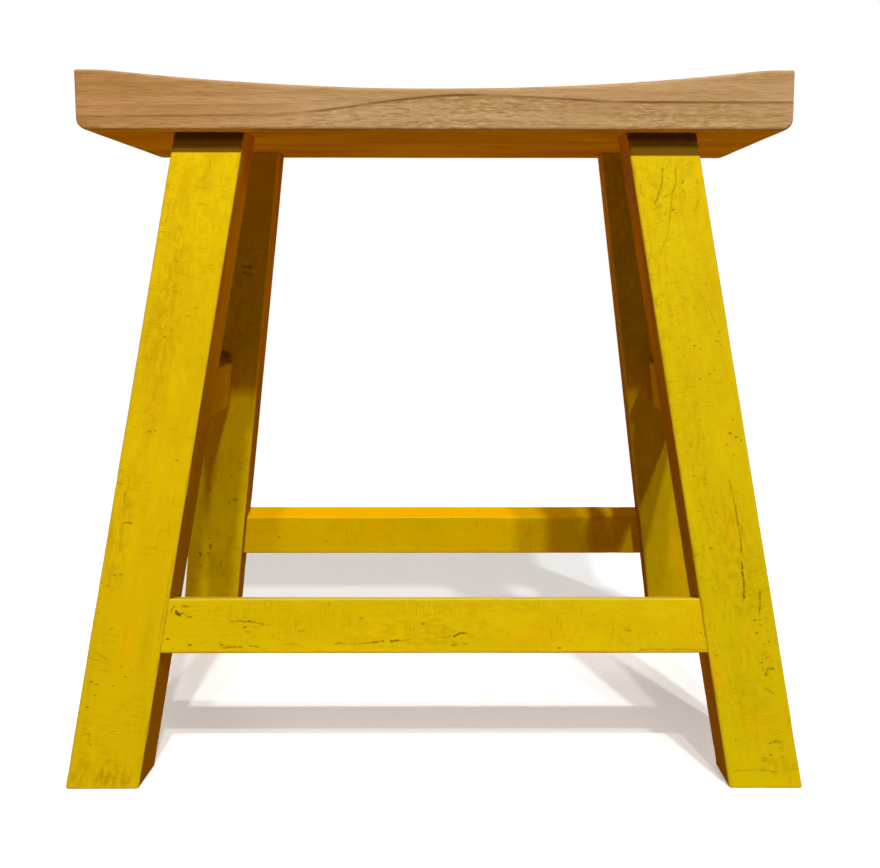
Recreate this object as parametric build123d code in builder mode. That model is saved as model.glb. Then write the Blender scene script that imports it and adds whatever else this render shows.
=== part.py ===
"""Low saddle stool: a dished plank seat on four legs that splay both ways, tied by four stretchers.

Millimetres, +Z up, +X to the right of someone who faces the front, -Y towards them. The origin is on the
floor under the middle of the seat.
"""

from build123d import *
from math import cos, hypot, radians, sin, tan
import os

# Seat plank
SEAT_LENGTH = 470.0
SEAT_DEPTH = 211.0
SEAT_END_THICKNESS = 39.0
SEAT_UNDERSIDE_HEIGHT = 419.0
SADDLE_DIP = 11.8
SADDLE_END_LAND = 18.0
SADDLE_BLEND_RADIUS = 180.0
SEAT_END_BOTTOM_ROUND = 8.0
SEAT_END_TOP_ROUND = 3.0
SEAT_EDGE_ROUND = 2.0

# Legs, measured square to their length
LEG_WIDTH = 46.5
LEG_THICKNESS = 38.0
LEG_SETBACK_FROM_SEAT_END = 61.0
LEG_SETBACK_FROM_SEAT_EDGE = 13.0
SPLAY_TO_FRONT_DEG = 12.0
SPLAY_TO_SIDE_DEG = 8.4
LEG_EDGE_ROUND = 1.5
FOOT_CHAMFER = 1.0

# Low stretchers, flush with the outer faces of the front and back legs
LOW_STRETCHER_TOP_HEIGHT = 118.0
LOW_STRETCHER_HEIGHT = 35.0

# High stretchers at the sides
SIDE_STRETCHER_TOP_HEIGHT = 256.0
SIDE_STRETCHER_HEIGHT = 38.0
SIDE_STRETCHER_REVEAL = 1.5

# Both kinds of stretcher
STRETCHER_THICKNESS = 24.0
STRETCHER_EDGE_ROUND = 1.0

# Mortise and tenon joints
SEAT_TENON_WIDTH = 30.0
SEAT_TENON_THICKNESS = 20.0
SEAT_TENON_LENGTH = 22.0
RAIL_TENON_THICKNESS = 10.0
RAIL_TENON_SHOULDER = 5.0
LOW_TENON_LENGTH = 28.0
SIDE_TENON_LENGTH = 24.0
TENON_CLEARANCE = 0.2

# One overrun for everything that is cut back to its true end
OVERRUN = 60.0

# The frame that the sizes above give
FRONT_LEAN = radians(SPLAY_TO_FRONT_DEG)
SIDE_SLOPE = tan(radians(SPLAY_TO_SIDE_DEG))
# Side slope measured within the leaning front frame, where the way up is longer
SLOPE_IN_FRAME = SIDE_SLOPE * cos(FRONT_LEAN)
# Width of a leg along a level line of the front frame
LEG_LEVEL_WIDTH = LEG_WIDTH * hypot(1, SLOPE_IN_FRAME)

half_spread_at_seat = SEAT_LENGTH / 2 - LEG_SETBACK_FROM_SEAT_END
half_spread_at_floor = half_spread_at_seat + SEAT_UNDERSIDE_HEIGHT * SIDE_SLOPE
front_face_at_seat = SEAT_DEPTH / 2 - LEG_SETBACK_FROM_SEAT_EDGE
front_face_at_floor = front_face_at_seat + SEAT_UNDERSIDE_HEIGHT * tan(FRONT_LEAN)

# The leaning plane of the front legs' faces: its normal points out of the stool, its y runs up the legs
front_frame = Plane(
    origin=(0, -front_face_at_floor, 0),
    x_dir=(1, 0, 0),
    z_dir=(0, -cos(FRONT_LEAN), sin(FRONT_LEAN)),
)
# The same plane for the back legs
back_frame = Plane(
    origin=(0, front_face_at_floor, 0),
    x_dir=(-1, 0, 0),
    z_dir=(0, cos(FRONT_LEAN), sin(FRONT_LEAN)),
)

# Run of the left legs, in the front frame, from foot to seat
left_leg_axis = Axis(
    origin=front_frame.from_local_coords((-half_spread_at_floor, 0, 0)),
    direction=front_frame.x_dir * SLOPE_IN_FRAME + front_frame.y_dir,
)


def up_the_frame(height):
    """Distance up the front frame that reaches a height over the floor."""
    return height / cos(FRONT_LEAN)


def outer_edge(up):
    """Distance from the middle of the stool to a front leg's outer edge, at a distance up the frame."""
    return half_spread_at_floor - up * SLOPE_IN_FRAME


def inner_edge(up):
    """Distance from the middle of the stool to a front leg's inner edge, at a distance up the frame."""
    return outer_edge(up) - LEG_LEVEL_WIDTH


def left_leg_bar(width, thickness, low, high):
    """A bar on the front left leg's centre line, cut level at two heights."""
    bottom = up_the_frame(low - OVERRUN)
    top = up_the_frame(high + OVERRUN)
    side_trim = (LEG_WIDTH - width) / LEG_WIDTH * LEG_LEVEL_WIDTH / 2
    face_trim = (LEG_THICKNESS - thickness) / 2
    with BuildPart() as bar:
        with BuildSketch(front_frame.offset(-face_trim)):
            with BuildLine():
                Polyline(
                    (-outer_edge(bottom) + side_trim, bottom),
                    (-inner_edge(bottom) - side_trim, bottom),
                    (-inner_edge(top) - side_trim, top),
                    (-outer_edge(top) + side_trim, top),
                    close=True,
                )
            make_face()
        extrude(amount=-thickness)
        split(bisect_by=Plane.XY.offset(low), keep=Keep.TOP)
        split(bisect_by=Plane.XY.offset(high), keep=Keep.BOTTOM)
    return bar.part


def front_rail_bar(shoulder, cheek, reach):
    """A level bar in the front frame, trimmed by shoulder and cheek, its ends reaching into the legs."""
    top = up_the_frame(LOW_STRETCHER_TOP_HEIGHT) - shoulder
    bottom = up_the_frame(LOW_STRETCHER_TOP_HEIGHT) - LOW_STRETCHER_HEIGHT + shoulder
    with BuildPart() as bar:
        with BuildSketch(front_frame.offset(-cheek)):
            with BuildLine():
                Polyline(
                    (-inner_edge(bottom) - reach, bottom),
                    (inner_edge(bottom) + reach, bottom),
                    (inner_edge(top) + reach, top),
                    (-inner_edge(top) - reach, top),
                    close=True,
                )
            make_face()
        extrude(amount=2 * cheek - STRETCHER_THICKNESS)
    return bar.part


def left_rail_bar(shoulder, cheek, reach):
    """A level bar between the left legs, trimmed by shoulder and cheek, its ends reaching into the legs."""
    lean = radians(SPLAY_TO_SIDE_DEG)
    # The legs' outer edges lie nearer the middle at their inner faces, where this rail meets them
    edge_at_floor = half_spread_at_floor - LEG_THICKNESS * sin(FRONT_LEAN) * SIDE_SLOPE
    outer_face = Plane(
        origin=(SIDE_STRETCHER_REVEAL - edge_at_floor, 0, 0),
        x_dir=(0, -1, 0),
        z_dir=(-cos(lean), 0, sin(lean)),
    )
    top = SIDE_STRETCHER_TOP_HEIGHT / cos(lean) - shoulder
    bottom = SIDE_STRETCHER_TOP_HEIGHT / cos(lean) - SIDE_STRETCHER_HEIGHT + shoulder
    with BuildPart() as bar:
        with BuildSketch(outer_face.offset(-cheek)):
            with BuildLine():
                Polyline(
                    (-front_face_at_floor, bottom),
                    (front_face_at_floor, bottom),
                    (front_face_at_floor, top),
                    (-front_face_at_floor, top),
                    close=True,
                )
            make_face()
        extrude(amount=2 * cheek - STRETCHER_THICKNESS)
        split(bisect_by=front_frame.offset(reach - LEG_THICKNESS), keep=Keep.BOTTOM)
        split(bisect_by=back_frame.offset(reach - LEG_THICKNESS), keep=Keep.BOTTOM)
    return bar.part


# What the joints are made of: each mortise is its tenon grown by the clearance
rail_cheek = (STRETCHER_THICKNESS - RAIL_TENON_THICKNESS) / 2
seat_tenon_top = SEAT_UNDERSIDE_HEIGHT + SEAT_TENON_LENGTH

seat_tenon = left_leg_bar(
    SEAT_TENON_WIDTH, SEAT_TENON_THICKNESS, SEAT_UNDERSIDE_HEIGHT, seat_tenon_top
)
seat_mortise = left_leg_bar(
    SEAT_TENON_WIDTH + 2 * TENON_CLEARANCE,
    SEAT_TENON_THICKNESS + 2 * TENON_CLEARANCE,
    SEAT_UNDERSIDE_HEIGHT,
    seat_tenon_top + TENON_CLEARANCE,
)
front_rail_tenons = front_rail_bar(RAIL_TENON_SHOULDER, rail_cheek, LOW_TENON_LENGTH)
front_rail_mortises = front_rail_bar(
    RAIL_TENON_SHOULDER - TENON_CLEARANCE,
    rail_cheek - TENON_CLEARANCE,
    LOW_TENON_LENGTH + TENON_CLEARANCE,
)
left_rail_tenons = left_rail_bar(RAIL_TENON_SHOULDER, rail_cheek, SIDE_TENON_LENGTH)
left_rail_mortises = left_rail_bar(
    RAIL_TENON_SHOULDER - TENON_CLEARANCE,
    rail_cheek - TENON_CLEARANCE,
    SIDE_TENON_LENGTH + TENON_CLEARANCE,
)

# Seat: the saddle is drawn from the front and the plank runs back from it
with BuildPart() as seat:
    with BuildSketch(Plane.XZ) as saddle:
        half_length = SEAT_LENGTH / 2
        half_hollow = half_length - SADDLE_END_LAND
        end_top = SEAT_UNDERSIDE_HEIGHT + SEAT_END_THICKNESS
        with BuildLine():
            Polyline(
                (-half_hollow, end_top),
                (-half_length, end_top),
                (-half_length, SEAT_UNDERSIDE_HEIGHT),
                (half_length, SEAT_UNDERSIDE_HEIGHT),
                (half_length, end_top),
                (half_hollow, end_top),
            )
            ThreePointArc(
                (half_hollow, end_top), (0, end_top - SADDLE_DIP), (-half_hollow, end_top)
            )
        make_face()
        fillet(saddle.vertices().group_by(Axis.Y)[0], SEAT_END_BOTTOM_ROUND)
        top_corners = saddle.vertices().group_by(Axis.Y)[-1].sort_by(Axis.X)
        fillet([top_corners[0], top_corners[-1]], SEAT_END_TOP_ROUND)
        land_ends = saddle.vertices().sort_by_distance((half_hollow, end_top))[:1]
        land_ends += saddle.vertices().sort_by_distance((-half_hollow, end_top))[:1]
        fillet(land_ends, SADDLE_BLEND_RADIUS)
    extrude(amount=SEAT_DEPTH / 2, both=True)
    long_edges = seat.edges().group_by(Axis.Y)
    fillet(long_edges[0] + long_edges[-1], SEAT_EDGE_ROUND)
    add(seat_mortise, mode=Mode.SUBTRACT)
    add(mirror(seat_mortise, about=Plane.YZ, mode=Mode.PRIVATE), mode=Mode.SUBTRACT)
    add(mirror(seat_mortise, about=Plane.XZ, mode=Mode.PRIVATE), mode=Mode.SUBTRACT)
    add(seat_mortise.rotate(Axis.Z, 180), mode=Mode.SUBTRACT)

# Front left leg: the bar, its seat tenon, and the mortises of the two rails that it holds
with BuildPart() as front_left_leg:
    add(left_leg_bar(LEG_WIDTH, LEG_THICKNESS, 0, SEAT_UNDERSIDE_HEIGHT))
    fillet(front_left_leg.edges().filter_by(left_leg_axis), LEG_EDGE_ROUND)
    chamfer(front_left_leg.edges().group_by(Axis.Z)[0], FOOT_CHAMFER)
    add(seat_tenon)
    add(front_rail_mortises, mode=Mode.SUBTRACT)
    add(left_rail_mortises, mode=Mode.SUBTRACT)

# The other legs are its mirror images
with BuildPart() as front_right_leg:
    mirror(front_left_leg.part, about=Plane.YZ)

with BuildPart() as back_left_leg:
    mirror(front_left_leg.part, about=Plane.XZ)

with BuildPart() as back_right_leg:
    mirror(back_left_leg.part, about=Plane.YZ)

# Front stretcher: shouldered against the legs' inner faces, with a tenon at each end
with BuildPart() as front_stretcher:
    add(front_rail_bar(0, 0, 0))
    fillet(front_stretcher.edges().filter_by(Axis.X), STRETCHER_EDGE_ROUND)
    add(front_rail_tenons)

with BuildPart() as back_stretcher:
    mirror(front_stretcher.part, about=Plane.XZ)

# Left side stretcher: runs from the front leg's inner face to the back leg's
with BuildPart() as left_side_stretcher:
    add(left_rail_bar(0, 0, 0))
    fillet(left_side_stretcher.edges().filter_by(Axis.Y), STRETCHER_EDGE_ROUND)
    add(left_rail_tenons)

with BuildPart() as right_side_stretcher:
    mirror(left_side_stretcher.part, about=Plane.YZ)

pieces = {
    "seat": seat,
    "front_left_leg": front_left_leg,
    "front_right_leg": front_right_leg,
    "back_left_leg": back_left_leg,
    "back_right_leg": back_right_leg,
    "front_stretcher": front_stretcher,
    "back_stretcher": back_stretcher,
    "left_side_stretcher": left_side_stretcher,
    "right_side_stretcher": right_side_stretcher,
}

os.makedirs("parts", exist_ok=True)
for name, piece in pieces.items():
    piece.part.label = name
    export_step(piece.part, f"parts/{name}.step")
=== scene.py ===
"""Looks of a low saddle stool: a dished plank seat on four splayed, painted legs tied by stretchers.

Metres, +Z up, +X to the right of someone who faces the front, -Y towards them. The origin is on the
floor under the middle of the seat.
"""

import logging
import random
from dataclasses import dataclass, field, replace
from enum import Enum
from math import cos, hypot, pi, radians, sin, sqrt, tan
from typing import Callable, Iterable, Sequence, Union

import bmesh
import bpy
from mathutils import Matrix, Vector, noise


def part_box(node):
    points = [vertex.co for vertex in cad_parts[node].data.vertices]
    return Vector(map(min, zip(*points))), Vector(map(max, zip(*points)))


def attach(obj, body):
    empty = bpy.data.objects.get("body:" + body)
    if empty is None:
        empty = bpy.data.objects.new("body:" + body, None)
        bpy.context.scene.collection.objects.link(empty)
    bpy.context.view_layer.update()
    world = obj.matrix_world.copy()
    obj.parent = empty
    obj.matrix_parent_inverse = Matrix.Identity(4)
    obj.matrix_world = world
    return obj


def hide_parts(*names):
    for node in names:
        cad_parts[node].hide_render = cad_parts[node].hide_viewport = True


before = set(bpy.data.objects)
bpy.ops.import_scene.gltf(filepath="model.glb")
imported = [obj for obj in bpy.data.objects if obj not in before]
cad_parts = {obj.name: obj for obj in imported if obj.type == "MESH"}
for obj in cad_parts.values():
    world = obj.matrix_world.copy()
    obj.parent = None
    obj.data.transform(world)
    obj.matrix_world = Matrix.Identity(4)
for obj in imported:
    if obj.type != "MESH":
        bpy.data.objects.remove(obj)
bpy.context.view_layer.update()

SIDEWAYS = Vector((1.0, 0.0, 0.0))
LEVEL = Vector((0.0, 0.0, 1.0))
ORIGIN = (0.0, 0.0, 0.0)
WHITE = (1.0, 1.0, 1.0, 1.0)

Colour = tuple[float, float, float]
Material = bpy.types.Material
Rows = tuple[tuple[float, ...], ...]
Socket = bpy.types.NodeSocket
Feed = Union[float, Sequence[float], Socket]

log = logging.getLogger("stool")


def linear(colour: Colour) -> tuple[float, float, float, float]:
    """A screen colour, 0 to 1, as the linear colour that a shader takes."""
    return tuple(c / 12.92 if c <= 0.04045 else ((c + 0.055) / 1.055) ** 2.4 for c in colour) + (1.0,)


def quarter_round(distance: float, radius: float) -> float:
    """How far a rounded edge stands back from its face, at a distance in from the edge."""
    return 0.0 if distance >= radius else radius - sqrt(radius * radius - (radius - distance) ** 2)


def second_smallest(values: Iterable[float]) -> float:
    """The second smallest value: the distance to an edge, given the distances to the faces."""
    return sorted(values)[1]


def link(name: str, data: bpy.types.ID) -> bpy.types.Object:
    """Makes an object and links it to the scene.

    Args:
        name: its name.
        data: its mesh, lamp or camera.

    Returns:
        The object, at the origin.
    """
    thing = bpy.data.objects.new(name, data)
    bpy.context.scene.collection.objects.link(thing)
    return thing


# Sizes


@dataclass(frozen=True)
class StoolSizes:
    """Driving sizes of the stool, as the joiner cut it.

    The frame that carries them is worked out from these: the lean of the front legs, the slope of the
    sides, and the legs' width along a level line.
    """

    seat_length: float = 0.470
    seat_depth: float = 0.211
    seat_end_thickness: float = 0.039
    underside_height: float = 0.419
    saddle_dip: float = 0.0118
    saddle_land: float = 0.018
    saddle_blend_radius: float = 0.180
    end_bottom_round: float = 0.008
    end_top_round: float = 0.0016
    seat_edge_round: float = 0.002
    leg_width: float = 0.0465
    leg_thickness: float = 0.038
    leg_setback_from_end: float = 0.061
    leg_setback_from_edge: float = 0.013
    splay_to_front: float = radians(12.0)
    splay_to_side: float = radians(8.4)
    leg_edge_round: float = 0.0015
    foot_round: float = 0.001
    low_rail_top: float = 0.118
    low_rail_height: float = 0.035
    side_rail_top: float = 0.256
    side_rail_height: float = 0.038
    side_rail_reveal: float = 0.0015
    rail_thickness: float = 0.024
    rail_edge_round: float = 0.001

    @property
    def side_slope(self) -> float:
        """Sideways run of a leg for each metre of height."""
        return tan(self.splay_to_side)

    @property
    def slope_in_frame(self) -> float:
        """The same slope, measured up the leaning front frame."""
        return self.side_slope * cos(self.splay_to_front)

    @property
    def leg_level_width(self) -> float:
        """Width of a leg along a level line of the front frame."""
        return self.leg_width * hypot(1.0, self.slope_in_frame)

    @property
    def half_spread_at_floor(self) -> float:
        """From the middle of the stool to a leg's outer edge, at the floor."""
        return self.seat_length / 2 - self.leg_setback_from_end + self.underside_height * self.side_slope

    @property
    def front_at_floor(self) -> float:
        """From the middle of the stool to the front legs' faces, at the floor."""
        at_seat = self.seat_depth / 2 - self.leg_setback_from_edge
        return at_seat + self.underside_height * tan(self.splay_to_front)

    @property
    def front_normal(self) -> Vector:
        """Out of the leaning front frame."""
        return Vector((0.0, -cos(self.splay_to_front), sin(self.splay_to_front)))

    @property
    def front_up(self) -> Vector:
        """Up the leaning front frame."""
        return Vector((0.0, sin(self.splay_to_front), cos(self.splay_to_front)))


# Scars of the outer faces, in millimetres across and along the bar


@dataclass(frozen=True)
class Run:
    """A straight run of a mark, in metres: its middle, direction, half length, half width and strength."""

    across: float
    along: float
    turn_across: float
    turn_along: float
    half_length: float
    half_width: float
    strength: float

    def offset(self, a: float, s: float) -> tuple[float, float]:
        """A place on the face as distances along the run from its middle, and beside it."""
        da, ds = a - self.across, s - self.along
        return da * self.turn_across + ds * self.turn_along, ds * self.turn_across - da * self.turn_along

    def gap(self, a: float, s: float) -> float:
        """Distance from a place on the face to the run."""
        t, v = self.offset(a, s)
        return hypot(max(abs(t) - self.half_length, 0.0), v)


@dataclass(frozen=True)
class Scars:
    """What the saw and use have left on a bar's outer face.

    A row of pits or soil is an oval patch: its middle across and along, its half sizes, its strength. A
    row of marks is a scratch, crack or spot: its width, its strength, then its points across and along.
    """

    pits: Rows = ()
    soil: Rows = ()
    marks: Rows = ()

    @staticmethod
    def cover(patches: Rows, a: float, s: float) -> float:
        """How strong the strongest patch is at a place on the face.

        Args:
            patches: the rows of pits or of soil.
            a: metres across the face.
            s: metres along it.

        Returns:
            The strength, 0 outside every patch.
        """
        strongest = 0.0
        for across, along, half_across, half_along, strength in patches:
            u = (a * 1000.0 - across) / half_across
            v = (s * 1000.0 - along) / half_along
            strongest = max(strongest, strength * max(1.0 - u * u - v * v, 0.0) ** 0.5)
        return strongest

    def runs(self) -> list[Run]:
        """The marks' straight runs. A spot is a run with no length.

        Returns:
            The runs, in metres.
        """
        found = []
        for width, strength, *numbers in self.marks:
            points = list(zip(numbers[::2], numbers[1::2]))
            for (a0, s0), (a1, s1) in zip(points, points[1:] or points):
                length = hypot(a1 - a0, s1 - s0)
                turn = ((a1 - a0) / length, (s1 - s0) / length) if length else (0.0, 1.0)
                sizes = ((a0 + a1) / 2000.0, (s0 + s1) / 2000.0, *turn, length / 2000.0, width / 2000.0)
                found.append(Run(*sizes, strength))
        return found


LEFT_LEG_SCARS = Scars(
    pits=(
        (-15.5, 194, 8, 10, 0.45), (-12, 170, 7, 8, 0.7), (-14, 134, 8, 16, 0.8), (-12, 228, 9, 20, 0.35),
        (-10, 320, 9, 50, 0.15), (-15, 100, 6, 20, 0.25), (-16, 60, 5, 24, 0.2),
    ),
    soil=((6, 10, 13, 10, 0.75), (-14, 8, 9, 12, 0.4), (-9, 300, 10, 90, 0.3), (-15, 165, 8, 48, 0.4)),
    marks=(
        (1.2, 0.8, -13.2, 169.3, -8.6, 169.9),
        (1.0, 0.6, -15.3, 32.3, -13.4, 33.6, -12.2, 28.9),
        (1.1, 0.75, -12.2, 32.6, -11.1, 30.0, -11.6, 26.4, -13.1, 27.2),
        (0.8, 0.3, -18.3, 84.9, -7.7, 80.0),
        (0.9, 0.35, -16.0, 189.0, -15.2, 180.5),
        (0.7, 0.35, 21.6, 150.0, 21.0, 98.0),
    ),
)
RIGHT_LEG_SCARS = Scars(
    pits=(
        (2, 392, 10, 16, 0.35), (-12, 300, 8, 24, 0.4), (-3, 285, 9, 34, 0.2), (-15, 226, 6, 18, 0.35),
        (8, 200, 9, 60, 0.15), (-14, 110, 6, 26, 0.3), (-13, 72, 6, 16, 0.4), (-10, 28, 9, 14, 0.3),
    ),
    soil=((-8, 12, 13, 7, 0.4), (-3, 150, 18, 50, 0.3), (10, 215, 8, 80, 0.25), (-2, 60, 10, 50, 0.2)),
    marks=(
        (0.9, 0.55, 2.8, 409.2, 6.2, 396.0, 11.9, 385.2),
        (0.8, 0.5, -6.1, 410.0, -3.8, 398.0, -0.3, 390.3),
        (0.7, 0.35, -0.3, 390.3, 3.0, 377.0, 6.5, 364.1, 13.8, 351.6),
        (0.9, 0.5, -9.1, 399.3, -8.9, 397.0),
        (0.9, 0.45, -8.1, 392.6, -8.0, 391.0),
        (0.7, 0.35, -13.1, 310.6, -14.8, 300.3),
        (0.9, 0.5, -13.5, 290.0, -17.0, 287.0),
        (1.6, 0.45, 13.9, 225.4, 13.6, 222.8),
        (1.4, 0.3, 4.8, 239.7),
        (0.8, 0.6, -7.7, 198.2, -9.0, 181.6),
        (1.0, 0.65, -9.0, 181.6, -9.3, 158.6),
        (0.8, 0.45, -11.2, 168.0, -9.8, 152.0, -8.6, 146.0),
        (1.0, 0.8, -9.3, 158.6, -7.2, 145.9),
        (1.4, 0.9, -7.2, 145.9, -6.8, 134.0),
        (1.1, 0.85, -6.8, 134.0, -5.5, 121.3),
        (1.2, 0.65, -16.4, 124.8, -15.2, 118.5, -13.9, 111.3),
        (1.2, 0.5, -14.9, 82.4, -13.1, 81.4),
        (1.5, 0.7, -16.6, 74.4, -13.3, 74.0, -11.4, 70.8),
        (1.2, 0.45, -14.0, 58.4, -10.1, 62.6),
        (1.5, 0.6, -12.2, 28.2, -7.1, 28.0),
        (2.2, 0.5, -2.4, 17.7, -0.8, 17.9),
        (0.9, 0.4, 19.3, 13.8, 4.0, 12.4, -9.2, 9.0),
    ),
)
BACK_LEG_SCARS = Scars(
    pits=((-6, 100, 10, 22, 0.25), (8, 150, 9, 24, 0.2), (2, 262, 10, 20, 0.3)),
    soil=((-2, 82, 14, 14, 0.45), (4, 330, 12, 60, 0.3)),
    marks=(
        (2.2, 0.6, 3.6, 349.6, 9.4, 350.6),
        (2.6, 0.7, 5.0, 345.4, 10.2, 344.6),
        (5.0, 0.75, -6.5, 275.5, -2.0, 274.0),
        (1.6, 0.7, 11.8, 146.4, 15.0, 146.0),
        (1.5, 0.5, -9.0, 155.0, -8.2, 151.5),
        (1.7, 0.65, -4.6, 101.0, -4.3, 97.2),
        (2.0, 0.8, -13.2, 92.0, -12.0, 89.4),
    ),
)
RAIL_SCARS = Scars(
    pits=(
        (9, -163, 7, 9, 0.8), (-11, -126, 5, 18, 0.35), (1, -128, 6, 14, 0.3), (-11, 15, 4, 9, 0.4),
        (-10, -163, 7, 10, 0.3),
    ),
    soil=((-2, -10, 14, 60, 0.25), (12, 40, 5, 60, 0.2)),
    marks=(
        (2.4, 1.0, 9.6, -167.4, 7.0, -164.4),
        (1.2, 0.7, 12.9, -162.6, 12.5, -158.4),
        (1.0, 0.7, 12.6, -168.2, 9.0, -169.8),
        (1.2, 0.6, 5.4, -160.0, 5.8, -156.8),
        (1.2, 0.8, 6.0, -165.6, 8.5, -162.6),
        (0.9, 0.5, 2.9, -131.5, 2.6, -118.0, 0.4, -105.5),
        (0.9, 0.4, 5.2, -128.7, 5.2, -126.4),
        (0.9, 0.45, 5.2, -124.4, 5.1, -120.2),
        (0.9, 0.4, -3.8, -122.1, -3.8, -118.9),
        (0.9, 0.35, -3.6, -88.0, -2.6, -84.0),
        (1.0, 0.6, -13.7, -136.2, -13.3, -124.3),
        (1.0, 0.5, -13.2, -118.8, -13.4, -113.3),
        (0.8, 0.3, -11.7, -98.0, -11.9, -88.0),
        (0.9, 0.5, -11.2, -64.1, -11.4, -52.9, -11.0, -42.0),
        (1.3, 0.75, -10.4, -42.0, -9.9, -33.0),
        (1.3, 0.85, -9.6, -28.4, -9.2, -21.5),
        (0.8, 0.4, -8.9, -21.0, -8.3, -14.0),
        (0.8, 0.35, -7.7, 0.3, -7.4, 9.6),
        (1.4, 0.85, -6.8, 12.4, -5.0, 16.4, -5.0, 19.9),
        (1.5, 0.6, -12.4, 11.4, -12.0, 13.6),
        (1.4, 0.5, -11.3, 19.2, -11.5, 20.8),
        (1.7, 0.5, -2.3, 122.6, -2.6, 126.4),
        (1.2, 0.4, -4.6, 142.9),
        (0.8, 0.18, -8.5, 81.5, -3.2, 84.4),
        (0.8, 0.2, -9.3, 88.0, -3.0, 91.6),
        (0.8, 0.18, -8.6, 95.0, -2.6, 98.6),
        (0.9, 0.4, -15.4, 132.5, -15.3, 158.0, -15.6, 177.7),
    ),
)


# Meshes


@dataclass(frozen=True)
class Nick:
    """A bite out of one long edge of a bar: its place along the bar, half length and depth."""

    corner: int
    place: float
    reach: float
    depth: float

    def bite(self, place: float) -> float:
        """Extra corner radius that the bite gives at a place along the bar."""
        share = (place - self.place) / self.reach
        return self.depth * (1.0 - share * share) ** 2 if abs(share) < 1.0 else 0.0


@dataclass(frozen=True)
class Rubbing:
    """How far use has rounded the long edges, in slow and in fine changes along the piece.

    slow and fine hold how fast the change goes along the piece, from edge to edge and from seed to seed.
    """

    depth: float
    slow: tuple[float, float, float]
    fine: tuple[float, float, float]
    bias: float
    slow_share: float
    fine_share: float

    def at(self, place: float, corner: int, seed: int) -> float:
        """Radius that use has added to a long edge, at a place along it.

        Args:
            place: metres along the piece.
            corner: the edge's number.
            seed: the piece's own seed.

        Returns:
            The radius in metres.
        """
        spot = (place, corner, seed)
        slow = noise.noise(Vector([rate * v for rate, v in zip(self.slow, spot)])) + self.bias
        fine = noise.noise(Vector([rate * v for rate, v in zip(self.fine, spot)]))
        return self.depth * (self.slow_share * max(slow, 0.0) + self.fine_share * max(fine, 0.0))


@dataclass
class RingMesh:
    """A closed skin made of rings of points, with values that the finishes read at each point."""

    name: str
    rings: list[list[Vector]] = field(default_factory=list)
    values: dict[str, list[float]] = field(default_factory=dict)
    places: dict[str, list[Vector]] = field(default_factory=dict)

    def add_point(self, point: Vector, values: dict[str, float], places: dict[str, Vector]) -> None:
        """Adds one point to the last ring.

        Args:
            point: where it is, in the stool's frame.
            values: one number for each named value.
            places: one vector for each named place.
        """
        self.rings[-1].append(point)
        for key, value in values.items():
            self.values.setdefault(key, []).append(value)
        for key, place in places.items():
            self.places.setdefault(key, []).append(place)

    def build(self, crease: float = radians(38.0)) -> bpy.types.Object:
        """Joins the rings into a mesh object.

        Args:
            crease: the angle between faces above which an edge stays sharp.

        Returns:
            The new object, linked to the scene, at the origin.
        """
        count = len(self.rings[0])
        points = [point for ring in self.rings for point in ring]
        sides = [(j, (j + 1) % count) for j in range(count)]
        starts = range(0, len(points) - count, count)
        faces = [(at + j, at + k, at + count + k, at + count + j) for at in starts for j, k in sides]
        faces += [tuple(range(count)), tuple(range(len(points) - count, len(points)))]
        mesh = bpy.data.meshes.new(self.name)
        mesh.from_pydata(points, [], faces)
        sheet = bmesh.new()
        sheet.from_mesh(mesh)
        bmesh.ops.recalc_face_normals(sheet, faces=sheet.faces)
        sheet.to_mesh(mesh)
        sheet.free()
        for key, values in self.values.items():
            mesh.attributes.new(key, "FLOAT", "POINT").data.foreach_set("value", values)
        for key, places in self.places.items():
            flat = [c for place in places for c in place]
            mesh.attributes.new(key, "FLOAT_VECTOR", "POINT").data.foreach_set("vector", flat)
        mesh.shade_smooth()
        mesh.set_sharp_from_angle(angle=crease)
        mesh.validate()
        return link(self.name, mesh)


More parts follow.
